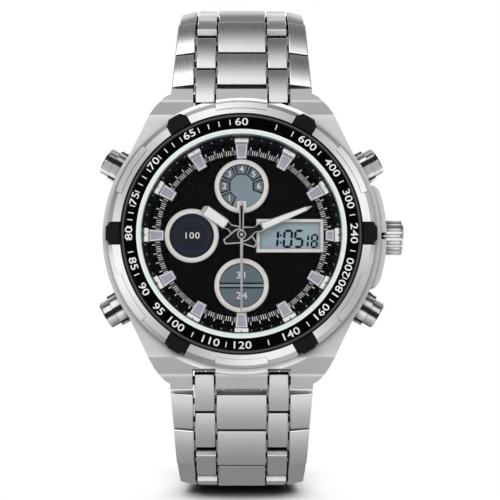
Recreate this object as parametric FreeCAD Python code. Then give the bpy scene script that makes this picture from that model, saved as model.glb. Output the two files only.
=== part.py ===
import FreeCAD, Part
import math
import os
from FreeCAD import Vector

# An ana-digi wristwatch on a closed steel bracelet, in millimetres.
# X points to 3 o'clock, Z to 12 o'clock and Y from the dial to the wrist.
# The origin is the centre of the case back's outer face.

# Case and lugs
CASE_RADIUS = 23.5
CASE_THICKNESS = 8.4
CASE_EDGE = 1.1
LUG_SPAN = 24.3
LUG_DEPTH = 4.2
LUG_SHOULDER = 20.6
LUG_TOP = 1.0
FLANK_POINTS = [(18.8, 14.2), (17.0, 17.8), (15.6, 20.8), (14.8, 22.3), (14.0, 23.4), (13.1, 24.3)]
LUG_NECK = 0.9
GUARD_PROUD = 1.1
GUARD_HALF = 8.6
GUARD_ROOT = 15.0
GUARD_CORNER = 1.6
LUG_BAR_RADIUS = 0.75
LUG_BAR_HALF = 11.3

# Case back
BACK_THICKNESS = 1.2
BACK_LAND = 2.35
BACK_BEVEL = 0.7
SNAP_RIM = 0.9
SNAP_WALL = 0.8
BACK_GASKET_LAND = 0.65
BACK_GASKET_WIDTH = 0.6
BACK_GASKET_DEPTH = 0.3

# Bezel with its six studs and its scale ring
BEZEL_RADIUS = 22.5
BEZEL_WIDTH = 4.85
BEZEL_THICKNESS = 3.4
BEZEL_LIP_DROP = 0.3
BEZEL_BEVEL = 0.75
BEZEL_LIP_WIDTH = 1.25
BEZEL_LIP_HALF_ANGLE = 11.5
SCALE_INSET = 2.4
SCALE_THICKNESS = 0.6
SCALE_DROP = 0.4
STUD_COUNT = 6
STUD_FIRST_ANGLE = 30.0
STUD_WIDTH = 3.7
STUD_REACH = 2.15
STUD_OVERHANG = 0.25
STUD_DEPTH = 2.6
STUD_PROUD = 0.1
STUD_CORNER = 0.8

# Crystal, gasket and flange
GASKET_WIDTH = 0.85
CRYSTAL_THICKNESS = 2.0
CRYSTAL_PROUD = 0.3
CRYSTAL_BEVEL = 0.4
GASKET_DROP = 0.15
FLANGE_INSET = 0.05
FLANGE_WIDTH = 0.85

# Dial and what is fixed on it; a share is a part of the free radius of the dial
DIAL_DEPTH = 1.4
DIAL_THICKNESS = 0.4
DIAL_HOLE = 1.2
MARKER_COUNT = 12
MARKER_INNER_SHARE = 0.825
MARKER_OUTER_SHARE = 0.994
MARKER_SHORT_SHARE = 0.89
MARKER_INNER_WIDTH = 1.7
MARKER_OUTER_WIDTH = 2.3
MARKER_HEIGHT = 0.6
MARKER_CAP_HEIGHT = 1.6
SUBDIAL_DISTANCE_SHARE = 0.5314
SUBDIAL_ANGLES = [0.0, 180.0, 270.0]
SUBDIAL_OUTER_SHARE = 0.2893
SUBDIAL_INNER_SHARE = 0.239
SUBDIAL_RING_HEIGHT = 0.35
SUBDIAL_RECESS = 0.2
DISPLAY_CENTRE_SHARE = 0.5157
DISPLAY_WIDTH_SHARE = 0.717
DISPLAY_HEIGHT_SHARE = 0.3585
DISPLAY_RIM = 0.55
DISPLAY_RIM_HEIGHT = 0.25
PANEL_MARGIN = 0.45
PANEL_THICKNESS = 1.1

# Hands, their arbors and their wheels
HAND_THICKNESS = 0.2
HOUR_LIFT = 0.65
HOUR_LENGTH_SHARE = 0.5063
HOUR_WIDTH = 1.8
HOUR_TAIL = 3.0
HOUR_LUME_START = 3.3
HOUR_ANGLE = 305.0
MINUTE_LIFT = 1.15
MINUTE_LENGTH_SHARE = 0.8176
MINUTE_WIDTH = 1.45
MINUTE_TAIL = 3.2
MINUTE_LUME_START = 3.9
MINUTE_ANGLE = 67.7
HAND_RIM = 0.22
SECONDS_LIFT = 1.7
SECONDS_LENGTH_SHARE = 0.8239
SECONDS_WIDTH = 0.5
SECONDS_TAIL = 5.3
SECONDS_TAIL_WIDTH = 0.9
SECONDS_ANGLE = 180.0
SECONDS_HUB = 0.75
HUB_WIDTH = 2.5
HUB_FACET_SHARE = 0.6
HOUR_NECK_SHARE = 0.55
HOUR_TIP_SHARE = 0.4
HOUR_POINT_SHARE = 0.6
MINUTE_NECK_SHARE = 0.6
MINUTE_TIP_SHARE = 0.5
MINUTE_POINT_SHARE = 1.6
SECONDS_TIP_SHARE = 0.6
SECONDS_ROOT_SHARE = 0.7
HOUR_TUBE = 0.95
MINUTE_TUBE = 0.6
SECONDS_ARBOR = 0.25
ARBOR_GAP = 0.07
WHEEL_RADIUS = 2.4
WHEEL_THICKNESS = 0.25
WHEEL_STEP = 0.55
WHEEL_ROOM = 2.7

# Movement
MODULE_GAP = 0.25
MODULE_THICKNESS = 6.0
BOARD_INSET = 1.4
BOARD_THICKNESS = 0.7
CELL_RADIUS = 6.0
CELL_THICKNESS = 2.6
CELL_ANGLE = 315.0
CELL_EDGE = 0.8
COIL_RADIUS = 1.3
COIL_CORE_SHARE = 0.5
COIL_WOUND_SHARE = 0.7
COIL_LENGTH = 9.0
COIL_DISTANCE_SHARE = 0.645
COIL_ANGLE = 191.3
POCKET_GAP = 0.12

# Crown and pushers
BUTTON_DEPTH = 5.4
CROWN_RADIUS = 2.95
CROWN_STANDOFF = 0.5
CROWN_LENGTH = 3.5
CROWN_EDGE = 0.35
CROWN_HOLLOW = 1.95
CROWN_HOLLOW_DEPTH = 2.0
CROWN_FLUTES = 16
CROWN_FLUTE_RADIUS = 0.38
CROWN_SEAT_GAP = 0.3
STEM_RADIUS = 0.6
STEM_START = 9.5
STEM_GRIP = 0.5
CROWN_TUBE_RADIUS = 1.3
CROWN_TUBE_SINK = 1.35
CROWN_TUBE_PROUD = 1.4
SEAL_LENGTH = 0.7
SEAL_START = 0.5
PUSHER_ANGLES = {"pusher_2": 60.0, "pusher_4": 120.0, "pusher_8": 240.0, "pusher_10": 300.0}
COLLAR_RADIUS = 2.9
COLLAR_WALL = 0.45
COLLAR_SINK = 0.6
COLLAR_PROUD = 1.5
CAP_PROUD = 1.9
CAP_SEAT = 0.9
CAP_EDGE = 0.45
PUSHER_STEM_SINK = 0.8
SLIDE_GAP = 0.1

# Bracelet
LINK_PITCH = 6.5
LINK_THICKNESS = 2.95
LINK_GAP = 0.3
FIRST_LINK_EXTRA = 0.4
LINK_HEADINGS = [20.0, 21.0, 57.0, 87.0, 98.0, 108.0, 119.0, 131.0, 143.0, 155.0]
BAND_WIDTH = 24.2
BAND_TAPER = 0.95
BAND_WIDTH_LEAST = 18.2
CENTRE_SHARE = 0.361
CENTRE_TAPER = 0.1
OUTER_SHARE = 0.69
OUTER_TAPER = 0.12
SIDE_GAP = 0.22
LINK_BEVEL = 0.22
LINK_ARCH = 0.28
INNER_FALL = 0.1
OUTER_FALL = 1.0
PIN_RADIUS = 0.5
PIN_RUNNING_GAP = 0.1
PIN_INSET = 0.35
PIN_GRIP = 1.35
KNUCKLE_ARM = 1.5
KNUCKLE_ROOT = 0.5

# Folding clasp, three curved leaves about one centre
CLASP_SAGITTA = 3.4
LEAF_THICKNESS = 0.8
LEAF_GAP = 0.25
LEAF_HALF_WIDTH = 4.5
COVER_THICKNESS = 1.0
COVER_SKIRT = 0.9
COVER_END_GAP = 0.6
HINGE_RADIUS = 0.85
HINGE_PIN_RADIUS = 0.4
HINGE_TONGUE_HALF = 2.0
HINGE_GAP = 0.2
BASE_HINGE_INSET = 4.32
COVER_HINGE_INSET = 3.12
LATCH_START = -9.5
LATCH_END = 8.5
LATCH_THICKNESS = 0.8
LATCH_TAB_DROP = 1.6
LATCH_LEAD = 1.2
LATCH_BOSS = 0.8

# Radii and lengths that follow from the case and the bezel
guard_reach = CASE_RADIUS + GUARD_PROUD
crown_start = CASE_RADIUS + CROWN_STANDOFF
collar_start = CASE_RADIUS - COLLAR_SINK
collar_end = CASE_RADIUS + COLLAR_PROUD
cap_end = collar_end + CAP_PROUD
case_bore = BEZEL_RADIUS - BEZEL_WIDTH
back_radius = case_bore + BACK_LAND
back_gasket_inner = case_bore + BACK_GASKET_LAND
lip_inner = BEZEL_RADIUS - BEZEL_LIP_WIDTH
scale_outer = BEZEL_RADIUS - SCALE_INSET
stud_inner = BEZEL_RADIUS - STUD_REACH
stud_outer = BEZEL_RADIUS + STUD_OVERHANG
crystal_radius = case_bore - GASKET_WIDTH
flange_crest = crystal_radius - FLANGE_INSET
flange_foot = flange_crest - FLANGE_WIDTH
marker_inner = flange_foot * MARKER_INNER_SHARE
marker_outer = flange_foot * MARKER_OUTER_SHARE
marker_short_inner = flange_foot * MARKER_SHORT_SHARE
subdial_distance = flange_foot * SUBDIAL_DISTANCE_SHARE
subdial_outer = flange_foot * SUBDIAL_OUTER_SHARE
subdial_inner = flange_foot * SUBDIAL_INNER_SHARE
display_centre = flange_foot * DISPLAY_CENTRE_SHARE
display_width = flange_foot * DISPLAY_WIDTH_SHARE
display_height = flange_foot * DISPLAY_HEIGHT_SHARE
hour_length = flange_foot * HOUR_LENGTH_SHARE
minute_length = flange_foot * MINUTE_LENGTH_SHARE
seconds_length = flange_foot * SECONDS_LENGTH_SHARE
module_radius = case_bore - MODULE_GAP
board_radius = module_radius - BOARD_INSET
crown_tube_start = case_bore + CROWN_TUBE_SINK
pusher_stem_start = case_bore + PUSHER_STEM_SINK

# Depths of the stack, from the wrist to the crystal
back_inner = -BACK_THICKNESS
case_front = back_inner - CASE_THICKNESS
bezel_front = case_front - BEZEL_THICKNESS
scale_front = bezel_front + SCALE_DROP
scale_back = scale_front + SCALE_THICKNESS
crystal_front = bezel_front - CRYSTAL_PROUD
crystal_back = crystal_front + CRYSTAL_THICKNESS
gasket_front = bezel_front + GASKET_DROP
flange_front = crystal_back + POCKET_GAP
dial_back = case_front + DIAL_DEPTH
dial_front = dial_back - DIAL_THICKNESS
module_back = dial_back + MODULE_THICKNESS
hour_level = dial_front - HOUR_LIFT
minute_level = dial_front - MINUTE_LIFT
seconds_level = dial_front - SECONDS_LIFT
button_level = -BUTTON_DEPTH
link_half = LINK_THICKNESS / 2
crown_end = crown_start + CROWN_LENGTH
cap_radius = COLLAR_RADIUS - COLLAR_WALL - SLIDE_GAP

# Length of a cutting tool, and how far a shorter one runs past a surface
FAR = 60.0
OVERCUT = 1.0
ORIGIN = Vector(0, 0, 0)
ALONG_X = Vector(1, 0, 0)
ALONG_Y = Vector(0, 1, 0)
ALONG_Z = Vector(0, 0, 1)


def disc(radius, y_front, y_back, x=0.0, z=0.0):
    return Part.makeCylinder(radius, y_back - y_front, Vector(x, y_front, z), ALONG_Y)


def ring(outer, inner, y_front, y_back, x=0.0, z=0.0):
    return disc(outer, y_front, y_back, x, z).cut(disc(inner, y_front, y_back, x, z))


def block(x_range, y_range, z_range):
    size = [high - low for low, high in (x_range, y_range, z_range)]
    return Part.makeBox(*size, Vector(x_range[0], y_range[0], z_range[0]))


def plate(points, y_front, y_back):
    """A flat plate from its outline in X and Z."""
    corners = [Vector(x, y_front, z) for x, z in points]
    face = Part.Face(Part.makePolygon(corners + corners[:1]))
    return face.extrude(Vector(0, y_back - y_front, 0))


def across(points, x_low, x_high):
    """A bar along X from its section in Y and Z."""
    corners = [Vector(x_low, y, z) for y, z in points]
    face = Part.Face(Part.makePolygon(corners + corners[:1]))
    return face.extrude(Vector(x_high - x_low, 0, 0))


def turned(profile):
    """A solid of revolution about Y from (radius, y) points."""
    corners = [Vector(radius, y, 0) for radius, y in profile]
    face = Part.Face(Part.makePolygon(corners + corners[:1]))
    return face.revolve(ORIGIN, ALONG_Y, 360)


def rod(radius, y, z, x_low, x_high):
    return Part.makeCylinder(radius, x_high - x_low, Vector(x_low, y, z), ALONG_X)


def clockwise(shape, angle):
    """Turn a piece made at 12 o'clock to another hour."""
    moved = shape.copy()
    moved.rotate(ORIGIN, ALONG_Y, angle)
    return moved


def spoke(radius, start, end, angle):
    """A round bar on a radial line of the case at the level of the buttons."""
    bar = Part.makeCylinder(radius, end - start, Vector(0, button_level, start), ALONG_Z)
    return clockwise(bar, angle)


def dial_spot(distance, angle):
    turn = math.radians(angle)
    return distance * math.sin(turn), distance * math.cos(turn)


cell_place = dial_spot(board_radius - CELL_RADIUS - CELL_EDGE, CELL_ANGLE)
coil_place = dial_spot(board_radius * COIL_DISTANCE_SHARE, COIL_ANGLE)


def fused(shapes):
    whole = shapes[0].fuse(shapes[1:]) if len(shapes) > 1 else shapes[0]
    return whole.removeSplitter()


def far_face_edges(shape, direction):
    """Edges round the face that lies furthest along a direction."""
    best = max(shape.Faces, key=lambda face: face.CenterOfMass.dot(direction))
    return best.OuterWire.Edges


def write(name, shapes):
    solids = [solid for shape in shapes for solid in shape.Solids]
    for solid in solids:
        assert solid.isValid() and solid.Volume > 0, name
    shape = solids[0] if len(solids) == 1 else Part.makeCompound(solids)
    shape.exportStep(os.path.join("parts", name + ".step"))
    volume = sum(solid.Volume for solid in solids)
    print("%-22s %3d solids %10.2f mm3" % (name, len(solids), volume))


# Widths of the band: row 0 is the case with its lugs
def band_half(row):
    return max(BAND_WIDTH - BAND_TAPER * row, BAND_WIDTH_LEAST) / 2


def centre_half(row):
    return BAND_WIDTH / 2 * CENTRE_SHARE - CENTRE_TAPER * row


def outer_start(row):
    return BAND_WIDTH / 2 * OUTER_SHARE - OUTER_TAPER * row


# Pivots of the 12 o'clock half of the band, as (y, z), and the heading of each link
pivots = [(-LUG_DEPTH, LUG_SPAN)]
link_lengths = [LINK_PITCH + (FIRST_LINK_EXTRA if row == 0 else 0.0)
                for row in range(len(LINK_HEADINGS))]
for heading, length in zip(LINK_HEADINGS, link_lengths):
    turn = math.radians(heading)
    last_y, last_z = pivots[-1]
    pivots.append((last_y + length * math.sin(turn), last_z + length * math.cos(turn)))
band_end_y, band_end_z = pivots[-1]


def make_case():
    profile = [(0, case_front), (CASE_RADIUS, case_front), (CASE_RADIUS, back_inner - CASE_EDGE),
               (CASE_RADIUS - CASE_EDGE, back_inner), (0, back_inner)]
    body = turned(profile)
    tip = LUG_SPAN + link_half
    quarter = FLANK_POINTS + [(band_half(0), tip - LUG_NECK), (band_half(0), tip)]
    half_turn = quarter + [(-x, z) for x, z in reversed(quarter)]
    lugs = plate(half_turn + [(-x, -z) for x, z in half_turn], case_front, back_inner)
    slope = lug_side(tip)
    lugs = lugs.common(slope)
    guard_depth = (case_front + LUG_TOP, back_inner - CASE_EDGE)
    guard = disc(guard_reach, *guard_depth)
    guard = guard.common(block((GUARD_ROOT, FAR), guard_depth, (-GUARD_HALF, GUARD_HALF)))
    upright = [edge for edge in guard.Edges
               if edge.BoundBox.YLength > LUG_TOP and edge.CenterOfMass.x > GUARD_ROOT + OVERCUT]
    guard = guard.makeFillet(GUARD_CORNER, upright)
    body = fused([body, lugs, guard])
    body = body.cut(disc(case_bore, case_front - OVERCUT, OVERCUT))
    body = body.cut(ring(back_gasket_inner + BACK_GASKET_WIDTH, back_gasket_inner,
                         back_inner - BACK_GASKET_DEPTH, back_inner + OVERCUT))
    cuts = []
    for side in (-1, 1):
        low, high = sorted((side * centre_half(0), side * outer_start(0)))
        for end in (-1, 1):
            z_range = sorted((end * (LUG_SPAN - link_half - LINK_GAP), end * (tip + OVERCUT)))
            cuts.append(block((low, high), (case_front - OVERCUT, OVERCUT), z_range))
    for end in (-1, 1):
        cuts.append(rod(LUG_BAR_RADIUS, -LUG_DEPTH, end * LUG_SPAN, -LUG_BAR_HALF, LUG_BAR_HALF))
    cuts.append(spoke(CROWN_TUBE_RADIUS, case_bore - OVERCUT, FAR, 90))
    cuts.append(spoke(CROWN_RADIUS + CROWN_SEAT_GAP, crown_start - CROWN_SEAT_GAP, FAR, 90))
    for angle in PUSHER_ANGLES.values():
        cuts.append(spoke(STEM_RADIUS + SLIDE_GAP, case_bore - OVERCUT, collar_start, angle))
        cuts.append(spoke(COLLAR_RADIUS, collar_start, FAR, angle))
    return body.cut(cuts)


def lug_side(tip):
    """What the side view leaves of the lugs: a sloping top and a round end below."""
    y_pivot = -LUG_DEPTH
    top = y_pivot - link_half
    corner = math.sin(math.pi / 4) * link_half
    edges = []
    for end in (-1, 1):
        path = [(case_front, 0), (case_front, end * LUG_SHOULDER),
                (top - LUG_TOP, end * (LUG_SPAN - LUG_TOP)), (top, end * tip), (y_pivot, end * tip)]
        under = [(y_pivot + link_half, end * LUG_SPAN),
                 (back_inner, end * (LUG_SHOULDER - LUG_TOP)), (back_inner, 0)]
        arc_middle = (y_pivot + corner, end * (LUG_SPAN + corner))
        points = [Vector(-FAR, y, z) for y, z in path]
        edges += [Part.makeLine(a, b) for a, b in zip(points, points[1:])]
        last = [Vector(-FAR, y, z) for y, z in under]
        edges.append(Part.Arc(points[-1], Vector(-FAR, *arc_middle), last[0]).toShape())
        edges += [Part.makeLine(a, b) for a, b in zip(last, last[1:])]
    outline = Part.Face(Part.Wire(Part.sortEdges(edges)[0]))
    return outline.extrude(Vector(2 * FAR, 0, 0))


def make_case_back():
    outside = back_radius - BACK_BEVEL
    plate_body = turned([(0, back_inner), (back_radius, back_inner),
                         (back_radius, back_inner + BACK_THICKNESS / 3), (outside, 0), (0, 0)])
    rim_outer = case_bore - SLIDE_GAP
    rim = ring(rim_outer, rim_outer - SNAP_WALL, back_inner - SNAP_RIM, back_inner)
    return fused([plate_body, rim])


def make_back_gasket():
    outer = back_gasket_inner + BACK_GASKET_WIDTH
    return ring(outer, back_gasket_inner, back_inner - BACK_GASKET_DEPTH, back_inner)


def stud_outline(width, inner, outer):
    half = width / 2
    return [(-half, inner), (half, inner), (half, outer - STUD_CORNER), (half - STUD_CORNER, outer),
            (STUD_CORNER - half, outer), (-half, outer - STUD_CORNER)]


def stud_angles():
    return [STUD_FIRST_ANGLE + 360 * index / STUD_COUNT for index in range(STUD_COUNT)]


def make_bezel():
    low = bezel_front + BEZEL_LIP_DROP
    profile = [(case_bore, case_front), (BEZEL_RADIUS, case_front), (BEZEL_RADIUS, low + BEZEL_BEVEL),
               (BEZEL_RADIUS - BEZEL_BEVEL, low), (scale_outer + SLIDE_GAP, low),
               (scale_outer + SLIDE_GAP, scale_back), (case_bore, scale_back)]
    body = turned(profile)
    lip_profile = [(lip_inner, low + BEZEL_BEVEL), (BEZEL_RADIUS, low + BEZEL_BEVEL), (BEZEL_RADIUS, low),
                   (BEZEL_RADIUS - BEZEL_LIP_DROP, bezel_front), (lip_inner, bezel_front)]
    corners = [Vector(0, y, radius) for radius, y in lip_profile]
    face = Part.Face(Part.makePolygon(corners + corners[:1]))
    lip = clockwise(face, -BEZEL_LIP_HALF_ANGLE).revolve(ORIGIN, ALONG_Y, 2 * BEZEL_LIP_HALF_ANGLE)
    lips = [clockwise(lip, angle - STUD_FIRST_ANGLE) for angle in stud_angles()]
    body = fused([body] + lips)
    pocket = plate(stud_outline(STUD_WIDTH + 2 * SLIDE_GAP, stud_inner - SLIDE_GAP, FAR),
                   bezel_front - OVERCUT, bezel_front + STUD_DEPTH)
    return body.cut([clockwise(pocket, angle) for angle in stud_angles()])


def make_studs():
    front = bezel_front - STUD_PROUD
    stud = plate(stud_outline(STUD_WIDTH, stud_inner, stud_outer), front, bezel_front + STUD_DEPTH)
    stud = stud.makeChamfer(LINK_BEVEL, far_face_edges(stud, -ALONG_Y))
    return [clockwise(stud, angle) for angle in stud_angles()]


def make_scale_ring():
    return ring(scale_outer, case_bore + SLIDE_GAP, scale_front, scale_back)


def make_crystal():
    return turned([(0, crystal_front), (crystal_radius - CRYSTAL_BEVEL, crystal_front),
                   (crystal_radius, crystal_front + CRYSTAL_BEVEL), (crystal_radius, crystal_back),
                   (0, crystal_back)])


def make_crystal_gasket():
    return ring(case_bore, crystal_radius, gasket_front, flange_front)


def make_flange():
    outer = case_bore - SLIDE_GAP
    return turned([(flange_foot, dial_front), (outer, dial_front), (outer, flange_front),
                   (flange_crest, flange_front)])


def subdial_spots():
    return [dial_spot(subdial_distance, angle) for angle in SUBDIAL_ANGLES]


def display_range(margin):
    """Box of the display in X and Z, grown by a margin."""
    half_width = display_width / 2 + margin
    half_height = display_height / 2 + margin
    return (display_centre - half_width, display_centre + half_width), (-half_height, half_height)


def make_dial():
    body = disc(case_bore - SLIDE_GAP, dial_front, dial_back)
    x_range, z_range = display_range(-DISPLAY_RIM)
    cuts = [disc(DIAL_HOLE, dial_front, dial_back), block(x_range, (dial_front, dial_back), z_range)]
    for x, z in subdial_spots():
        cuts.append(disc(subdial_inner, dial_front, dial_front + SUBDIAL_RECESS, x, z))
    return body.cut(cuts)


def make_subdial_rings():
    front = dial_front - SUBDIAL_RING_HEIGHT
    rings = []
    for x, z in subdial_spots():
        piece = ring(subdial_outer, subdial_inner, front, dial_front, x, z)
        edges = far_face_edges(piece, -ALONG_Y)
        rings.append(piece.makeChamfer(SUBDIAL_RING_HEIGHT / 2, edges))
    return rings


def make_subdial_discs():
    return [disc(subdial_inner, dial_front, dial_front + SUBDIAL_RECESS, x, z)
            for x, z in subdial_spots()]


def make_display_frame():
    outer = display_range(0)
    inner = display_range(-DISPLAY_RIM)
    depth = (dial_front - DISPLAY_RIM_HEIGHT, dial_front)
    frame = block(outer[0], depth, outer[1]).cut(block(inner[0], depth, inner[1]))
    return frame.makeChamfer(DISPLAY_RIM_HEIGHT / 2, far_face_edges(frame, -ALONG_Y))


def make_panel():
    x_range, z_range = display_range(PANEL_MARGIN - DISPLAY_RIM)
    return block(x_range, (dial_back, dial_back + PANEL_THICKNESS), z_range)


def make_markers():
    """Twelve applied blocks on the dial and twelve caps that climb the flange."""
    pieces = []
    flange = make_flange()
    front = dial_front - MARKER_HEIGHT
    for index in range(MARKER_COUNT):
        angle = 360 * index / MARKER_COUNT
        inner = marker_short_inner if angle == 90 else marker_inner
        narrow = MARKER_INNER_WIDTH / 2
        wide = MARKER_OUTER_WIDTH / 2
        marker = plate([(-narrow, inner), (narrow, inner), (wide, marker_outer), (-wide, marker_outer)],
                       front, dial_front)
        marker = marker.makeChamfer(MARKER_HEIGHT / 4, far_face_edges(marker, -ALONG_Y))
        cap_depth = (dial_front - MARKER_CAP_HEIGHT, dial_front)
        cap = block((-wide, wide), cap_depth, (marker_outer, flange_crest))
        cap = cap.common(disc(flange_crest, flange_front, dial_front)).cut(flange)
        pieces += [clockwise(marker, angle), clockwise(cap, angle)]
    return pieces


def hand_hub(half, tail, neck):
    """Outline of the black hexagon round the arbor, from tail to neck."""
    side = HUB_WIDTH / 2
    facet = side * HUB_FACET_SHARE
    return [(-half, neck), (-side, facet), (-side, -facet), (-half, -tail), (half, -tail), (side, -facet),
            (side, facet), (half, neck)]


def lume_window(half, start, end, tip_half):
    inside = half - HAND_RIM
    tip_inside = tip_half - HAND_RIM / 2
    return [(-inside, start), (inside, start), (tip_inside, end), (-tip_inside, end)]


def make_hour_hand():
    half = HOUR_WIDTH / 2
    tip_half = half * HOUR_TIP_SHARE
    point = hour_length - half * HOUR_POINT_SHARE
    hub = hand_hub(half * HOUR_NECK_SHARE, HOUR_TAIL, HUB_WIDTH)
    outline = hub + [(half, HUB_WIDTH + half), (half, point), (tip_half, hour_length),
                     (-tip_half, hour_length), (-half, point), (-half, HUB_WIDTH + half)]
    window = lume_window(half, HOUR_LUME_START, point - HAND_RIM, half)
    return make_hand(outline, window, hour_level, HOUR_TUBE, HOUR_ANGLE)


def make_minute_hand():
    half = MINUTE_WIDTH / 2
    tip_half = half * MINUTE_TIP_SHARE
    point = minute_length - half * MINUTE_POINT_SHARE
    hub = hand_hub(half * MINUTE_NECK_SHARE, MINUTE_TAIL, HUB_WIDTH)
    outline = hub + [(half, HUB_WIDTH + half), (tip_half, point), (0, minute_length), (-tip_half, point),
                     (-half, HUB_WIDTH + half)]
    window = lume_window(half, MINUTE_LUME_START, point, tip_half)
    return make_hand(outline, window, minute_level, MINUTE_TUBE, MINUTE_ANGLE)


def make_hand(outline, window, level, bore, angle):
    """A hand with an open window, and the lume that fills it."""
    front = level - HAND_THICKNESS
    blade = plate(outline, front, level).cut(disc(bore, front, level))
    lume = plate(window, front, level)
    return clockwise(blade.cut(lume), angle), clockwise(lume, angle)


def make_seconds_hand():
    front = seconds_level - HAND_THICKNESS
    half = SECONDS_WIDTH / 2
    tail_half = SECONDS_TAIL_WIDTH / 2
    tip_half = half * SECONDS_TIP_SHARE
    root_half = tail_half * SECONDS_ROOT_SHARE
    needle = plate([(-half, 0), (half, 0), (tip_half, seconds_length), (-tip_half, seconds_length)],
                   front, seconds_level)
    tail = plate([(-root_half, 0), (-tail_half, -SECONDS_TAIL), (tail_half, -SECONDS_TAIL),
                  (root_half, 0)], front, seconds_level)
    hub = disc(SECONDS_HUB, front - HAND_THICKNESS, seconds_level)
    body = fused([needle, tail, hub]).cut(disc(SECONDS_ARBOR, front, seconds_level))
    return clockwise(body, SECONDS_ANGLE)


# Depth of each wheel of the motion work behind the dial
hour_wheel_front = dial_back + WHEEL_STEP
minute_wheel_front = hour_wheel_front + WHEEL_STEP
seconds_wheel_front = minute_wheel_front + WHEEL_STEP
wheel_room_back = seconds_wheel_front + WHEEL_STEP
arbor_end = wheel_room_back + WHEEL_STEP


def make_wheel(tube, bore, top, wheel_front, end):
    wheel = disc(WHEEL_RADIUS, wheel_front, wheel_front + WHEEL_THICKNESS)
    body = fused([disc(tube, top, end), wheel])
    return body.cut(disc(bore, top, end)) if bore else body


def make_module():
    body = disc(module_radius, dial_back, module_back)
    x_range, z_range = display_range(PANEL_MARGIN - DISPLAY_RIM + POCKET_GAP)
    cell_x, cell_z = cell_place
    coil_x, coil_z = coil_place
    coil_half = COIL_LENGTH / 2 + POCKET_GAP
    coil_side = COIL_RADIUS + POCKET_GAP
    board_front = module_back - BOARD_THICKNESS
    cuts = [disc(WHEEL_ROOM, dial_back, wheel_room_back),
            disc(SECONDS_ARBOR + ARBOR_GAP, wheel_room_back, arbor_end),
            block(x_range, (dial_back, dial_back + PANEL_THICKNESS + POCKET_GAP), z_range),
            disc(board_radius + POCKET_GAP, board_front, module_back),
            disc(CELL_RADIUS + POCKET_GAP, module_back - CELL_THICKNESS, module_back, cell_x, cell_z),
            block((coil_x - coil_half, coil_x + coil_half), (board_front - 2 * coil_side, board_front),
                  (coil_z - coil_side, coil_z + coil_side)),
            spoke(STEM_RADIUS + SLIDE_GAP, STEM_START - POCKET_GAP, module_radius + OVERCUT, 90)]
    return body.cut(cuts)


def make_board():
    cell_x, cell_z = cell_place
    front = module_back - BOARD_THICKNESS
    board = disc(board_radius, front, module_back)
    return board.cut(disc(CELL_RADIUS + POCKET_GAP, front, module_back, cell_x, cell_z))


def make_cell():
    return disc(CELL_RADIUS, module_back - CELL_THICKNESS, module_back, *cell_place)


def make_coil():
    coil_x, coil_z = coil_place
    y = module_back - BOARD_THICKNESS - COIL_RADIUS
    half = COIL_LENGTH / 2
    wound = half * COIL_WOUND_SHARE
    core = rod(COIL_RADIUS * COIL_CORE_SHARE, y, coil_z, coil_x - half, coil_x + half)
    winding = rod(COIL_RADIUS, y, coil_z, coil_x - wound, coil_x + wound)
    return fused([core, winding])


def make_crown():
    head = Part.makeCylinder(CROWN_RADIUS, CROWN_LENGTH, Vector(crown_start, button_level, 0), ALONG_X)
    rims = [edge for edge in head.Edges if isinstance(edge.Curve, Part.Circle)]
    head = head.makeChamfer(CROWN_EDGE, rims)
    flutes = []
    for index in range(CROWN_FLUTES):
        turn = 2 * math.pi * index / CROWN_FLUTES
        y = button_level + CROWN_RADIUS * math.cos(turn)
        z = CROWN_RADIUS * math.sin(turn)
        flutes.append(rod(CROWN_FLUTE_RADIUS, y, z, crown_start, crown_end - CROWN_EDGE))
    hollow_end = crown_start + CROWN_HOLLOW_DEPTH
    hollow = rod(CROWN_HOLLOW, button_level, 0, crown_start, hollow_end)
    grip = rod(STEM_RADIUS, button_level, 0, hollow_end, hollow_end + STEM_GRIP)
    return head.cut(flutes + [hollow, grip])


def make_stem():
    return rod(STEM_RADIUS, button_level, 0, STEM_START, crown_start + CROWN_HOLLOW_DEPTH + STEM_GRIP)


def make_seal():
    start = crown_start + SEAL_START
    outer = rod(CROWN_HOLLOW - SLIDE_GAP / 2, button_level, 0, start, start + SEAL_LENGTH)
    return outer.cut(rod(CROWN_TUBE_RADIUS + SLIDE_GAP / 2, button_level, 0, start, start + SEAL_LENGTH))


def make_tubes():
    end = crown_start + CROWN_TUBE_PROUD
    tube = rod(CROWN_TUBE_RADIUS, button_level, 0, crown_tube_start, end)
    tubes = [tube.cut(rod(STEM_RADIUS + SLIDE_GAP, button_level, 0, crown_tube_start, end))]
    for angle in PUSHER_ANGLES.values():
        collar = spoke(COLLAR_RADIUS, collar_start, collar_end, angle)
        tubes.append(collar.cut(spoke(COLLAR_RADIUS - COLLAR_WALL, collar_start, collar_end, angle)))
    return tubes


def make_pusher(angle):
    cap = spoke(cap_radius, collar_end - CAP_SEAT, cap_end, 0)
    rim = far_face_edges(cap, ALONG_Z)
    cap = cap.makeFillet(CAP_EDGE, rim)
    stem = spoke(STEM_RADIUS, pusher_stem_start, collar_end, 0)
    return clockwise(fused([cap, stem]), angle)


def set_in_band(shape, index):
    """Move a piece made along Z, with its top towards -Y, to its place in the band."""
    moved = shape.copy()
    moved.rotate(ORIGIN, ALONG_X, -LINK_HEADINGS[index])
    moved.translate(Vector(0, *pivots[index]))
    return moved


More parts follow.
